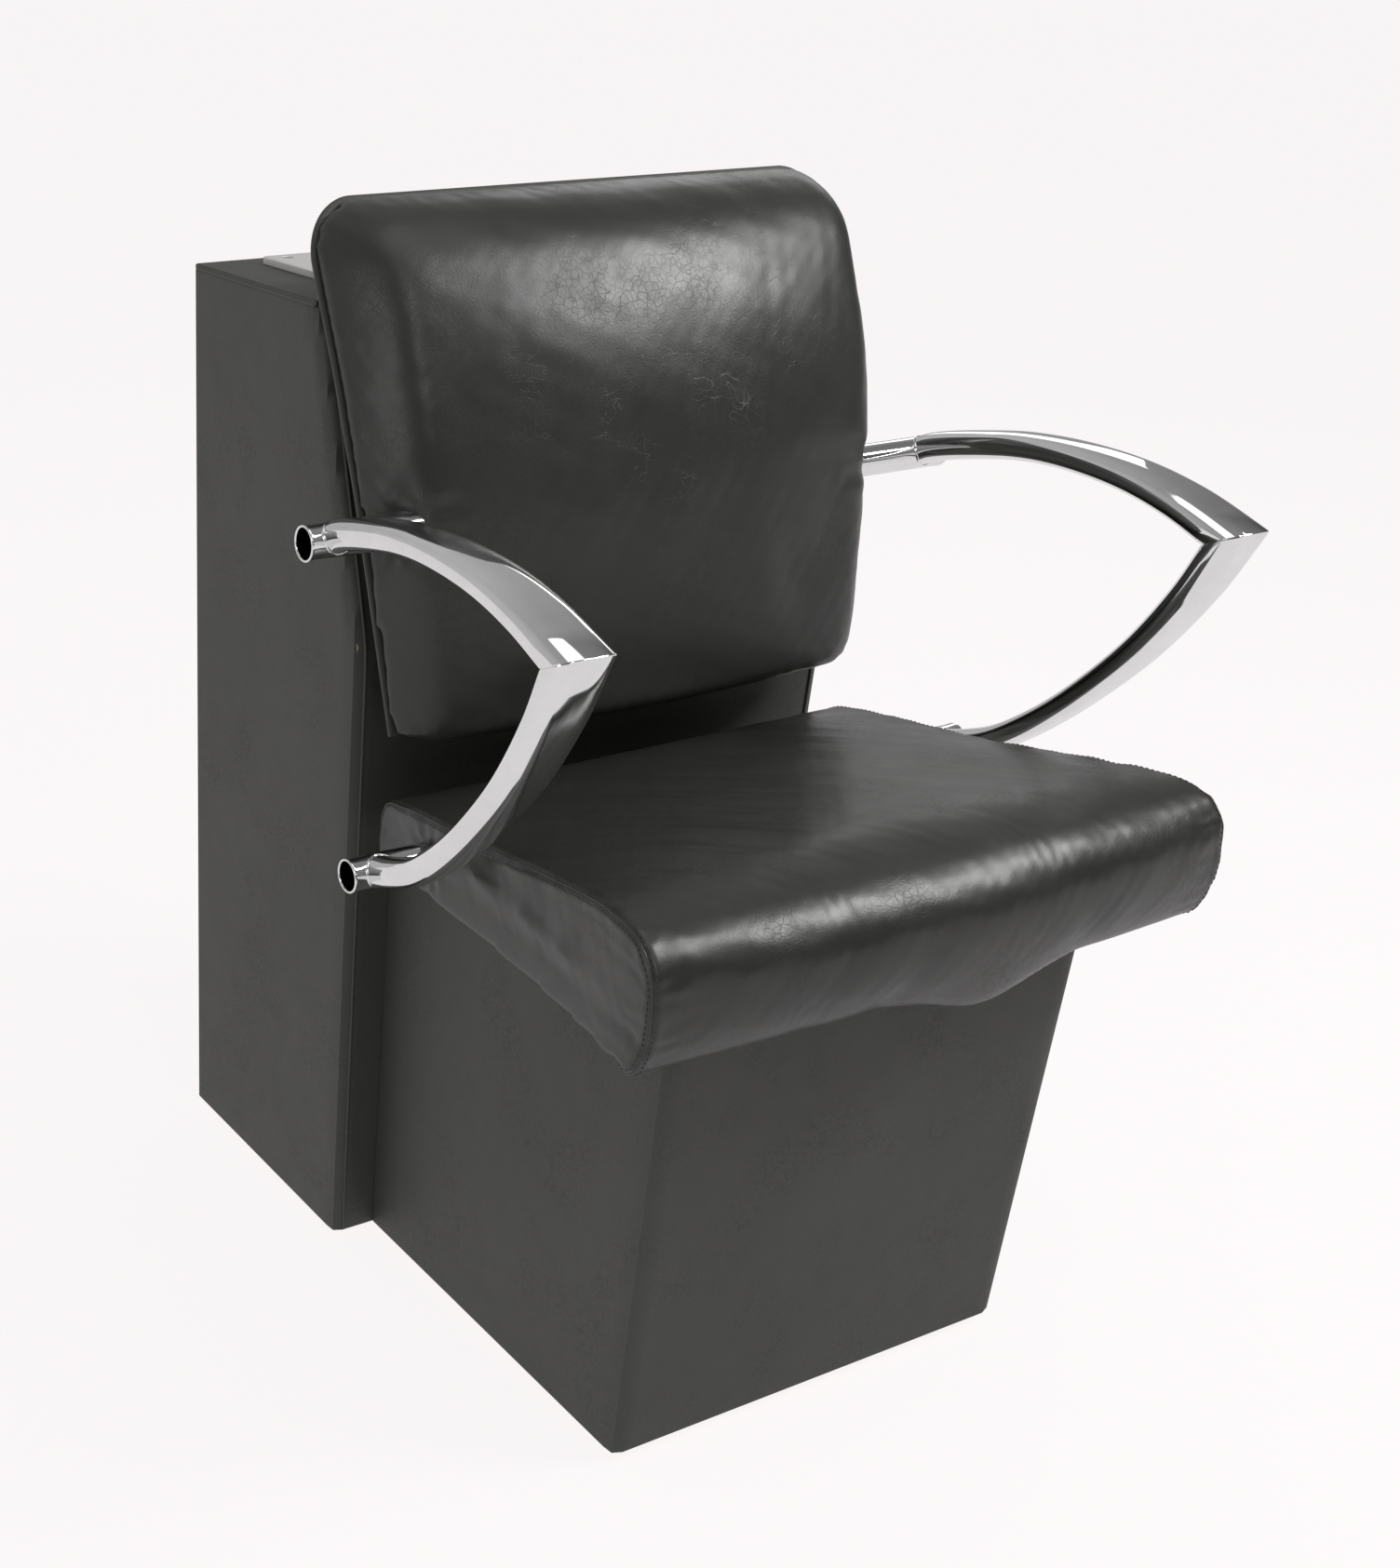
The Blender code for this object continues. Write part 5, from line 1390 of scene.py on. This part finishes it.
# ------------------------------------------------------------------ glides and grommet
def glide_shape():
    """Levelling glide: round nylon foot on a threaded stem."""
    foot_r, edge_r, core_r, crest_r = 0.0120, 0.0020, 0.0036, 0.0040
    profile = [(0, 0.0), (0.0098, 0.0)]
    profile += [(foot_r - edge_r * (1 - math.sin(a)), 0.0018 - 0.0018 * math.cos(a))
                for a in np.linspace(0.2, math.pi / 2, 6)]
    profile += [(foot_r, 0.0046), (0.0116, 0.0054), (0.0096, 0.0072), (0.0092, 0.0076),
                (0.0060, 0.0080), (0.0058, 0.0082), (core_r, 0.0083)]
    z, pitch = 0.0084, 0.00125
    while z < 0.0360:
        profile += [(core_r, z), (crest_r, z + 0.0003), (crest_r, z + 0.0005),
                    (core_r, z + 0.0008)]
        z += pitch
    profile += [(core_r, 0.0366), (0.0030, 0.0370), (0, 0.0370)]
    return lathe(profile, 40)


for body in frame["bodies"]:
    if not body.endswith("_glide_foot"):
        continue
    glide = body.removesuffix("_foot")
    low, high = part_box(glide)
    middle = (low + high) / 2
    verts, faces = glide_shape()
    verts = [(x + middle.x, y + middle.y - DESIGN_Y, z) for x, y, z in verts]
    add_piece(glide + "_turned", (verts, faces), "glide_plastic", (glide,), body=body,
              sharp=40)


def add_grommet():
    """Rounded cord grommet in the rear panel."""
    centre_z, neck_r = 0.120, 0.0146
    profile = [(0.0100, -0.0180), (0.0178, -0.0180), (0.0185, -0.0174), (0.0185, -0.0160),
               (0.0180, -0.0155), (neck_r, -0.0155), (neck_r, 0.0005), (0.0182, 0.0005),
               (0.0186, 0.0010)]
    profile += [(0.0158 + 0.0028 * math.cos(a), 0.0012 + 0.0020 * math.sin(a))
                for a in np.linspace(0.1, math.pi / 2, 6)]
    profile += [(0.0120, 0.0031)]
    profile += [(0.0112 - 0.0012 * math.sin(a), 0.0018 + 0.0012 * math.cos(a))
                for a in np.linspace(0.1, math.pi / 2, 5)]
    verts, faces = lathe(profile, 56)
    verts = [(x, CAB_REAR + z, centre_z + y) for x, y, z in verts]
    add_piece("cord_grommet_moulded", (verts, faces), "rubber", ("cord_grommet",), sharp=45)


add_grommet()


# ------------------------------------------------------------------ studio
def floor_material():
    """Mostly glowing floor, a little brighter to the camera than to other rays."""
    mat = Surface("studio_floor")
    for key, value in {"Base Color": (0.90, 0.885, 0.888, 1.0), "Roughness": 0.9,
                       "Specular IOR Level": 0.0}.items():
        mat.feed(mat.shader.inputs[key], value)
    camera_ray = mat.node("ShaderNodeLightPath").outputs["Is Camera Ray"]
    glow = mat.node("ShaderNodeEmission", {"Color": (1.005, 0.972, 0.980, 1.0),
                                           "Strength": mat.add(0.82, mat.mul(camera_ray, 0.19))})
    glow_share = 0.90
    blend = mat.node("ShaderNodeMixShader",
                     {0: glow_share, 1: mat.shader.outputs[0], 2: glow.outputs[0]})
    mat.feed(mat.tree.nodes["Material Output"].inputs["Surface"], blend.outputs[0])
    return mat.material


def add_floor():
    reach = 60
    mesh = bpy.data.meshes.new("studio_floor")
    mesh.from_pydata([(-reach, -reach, 0), (reach, -reach, 0), (reach, reach, 0),
                      (-reach, reach, 0)], [], [(0, 1, 2, 3)])
    mesh.materials.append(floor_material())
    link_object("studio_floor", mesh)


def set_world():
    """Plain backdrop to the camera; as light, brighter from above, from -x and from +y."""
    world = bpy.data.worlds.new("studio")
    bpy.context.scene.world = world
    world.use_nodes = True
    sky = Graph(world.node_tree)
    source = sky.node("ShaderNodeTexCoord").outputs["Generated"]
    direction = sky.node("ShaderNodeSeparateXYZ", {0: source}).outputs
    above = sky.remap(direction["Z"], span=(0.30, 0.95))
    left = sky.remap(direction["X"], span=(-0.25, -0.95))
    behind = sky.remap(direction["Y"], span=(0.2, 0.9))
    # shares of the three directions over an even 0.07
    light = sky.add(sky.mul(above, 0.20), 0.07)
    light = sky.add(light, sky.mul(left, 0.26))
    light = sky.add(light, sky.mul(behind, 0.42))
    camera_ray = sky.node("ShaderNodeLightPath").outputs["Is Camera Ray"]
    strength = sky.add(sky.mul(light, sky.sub(1.0, camera_ray)), camera_ray)
    background = sky.tree.nodes["Background"]
    sky.feed(background.inputs["Color"], (0.965, 0.945, 0.950, 1.0))
    sky.feed(background.inputs["Strength"], strength)


# area lights: name, place, aim, size (width, height), watts, colour
WHITE = (1, 1, 1)
LIGHTS = (
    ("window_right", (1.62, -1.08, 2.32), (0.0, -0.10, 0.65), (0.85, 0.62), 36,
     (1.0, 1.0, 0.98)),
    ("window_rear_right", (2.4, 2.2, 1.9), (0.0, 0.0, 0.50), (1.6, 0.9), 6, WHITE),
    ("high_front_left", (-0.62, -2.0, 2.42), (-0.1, 0.0, 0.75), (0.42, 0.7), 6, WHITE),
    ("roll_light", (0.95, -1.15, 2.62), (0.0, -0.30, 0.50), (0.50, 0.40), 6, WHITE),
    ("low_left", (-2.6, -0.6, 1.3), (0.0, 0.0, 0.45), (1.0, 1.2), 7, WHITE),
    ("overhead", (0.0, -0.2, 3.0), (0.0, 0.0, 0.0), (1.8, 1.4), 8, WHITE),
)


def add_lights():
    for name, place, aim, size, watts, color in LIGHTS:
        light = bpy.data.lights.new(name, 'AREA')
        light.shape = 'RECTANGLE'
        light.size, light.size_y = size
        light.energy = watts
        light.color = color
        ob = link_object(name, light)
        ob.location = place
        ob.rotation_euler = (Vector(aim) - Vector(place)).to_track_quat('-Z', 'Y').to_euler()


def add_camera():
    azimuth, elevation = math.radians(-27.438), math.radians(30.349)
    camera = bpy.data.cameras.new("camera")
    ob = link_object("camera", camera)
    backward = Vector((math.sin(azimuth) * math.cos(elevation),
                       -math.cos(azimuth) * math.cos(elevation), math.sin(elevation)))
    ob.location = (-1.04179, -1.19653 + DESIGN_Y, 1.08237)
    ob.rotation_euler = (-backward).to_track_quat('-Z', 'Y').to_euler()
    camera.sensor_fit = 'AUTO'
    camera.sensor_width = 36.0
    camera.lens = 45.468278
    camera.shift_x = 0.31027062
    camera.shift_y = 0.17384095
    camera.clip_end = 400.0
    bpy.context.scene.camera = ob


add_floor()
set_world()
add_lights()
add_camera()
bpy.context.scene.view_settings.view_transform = 'Standard'
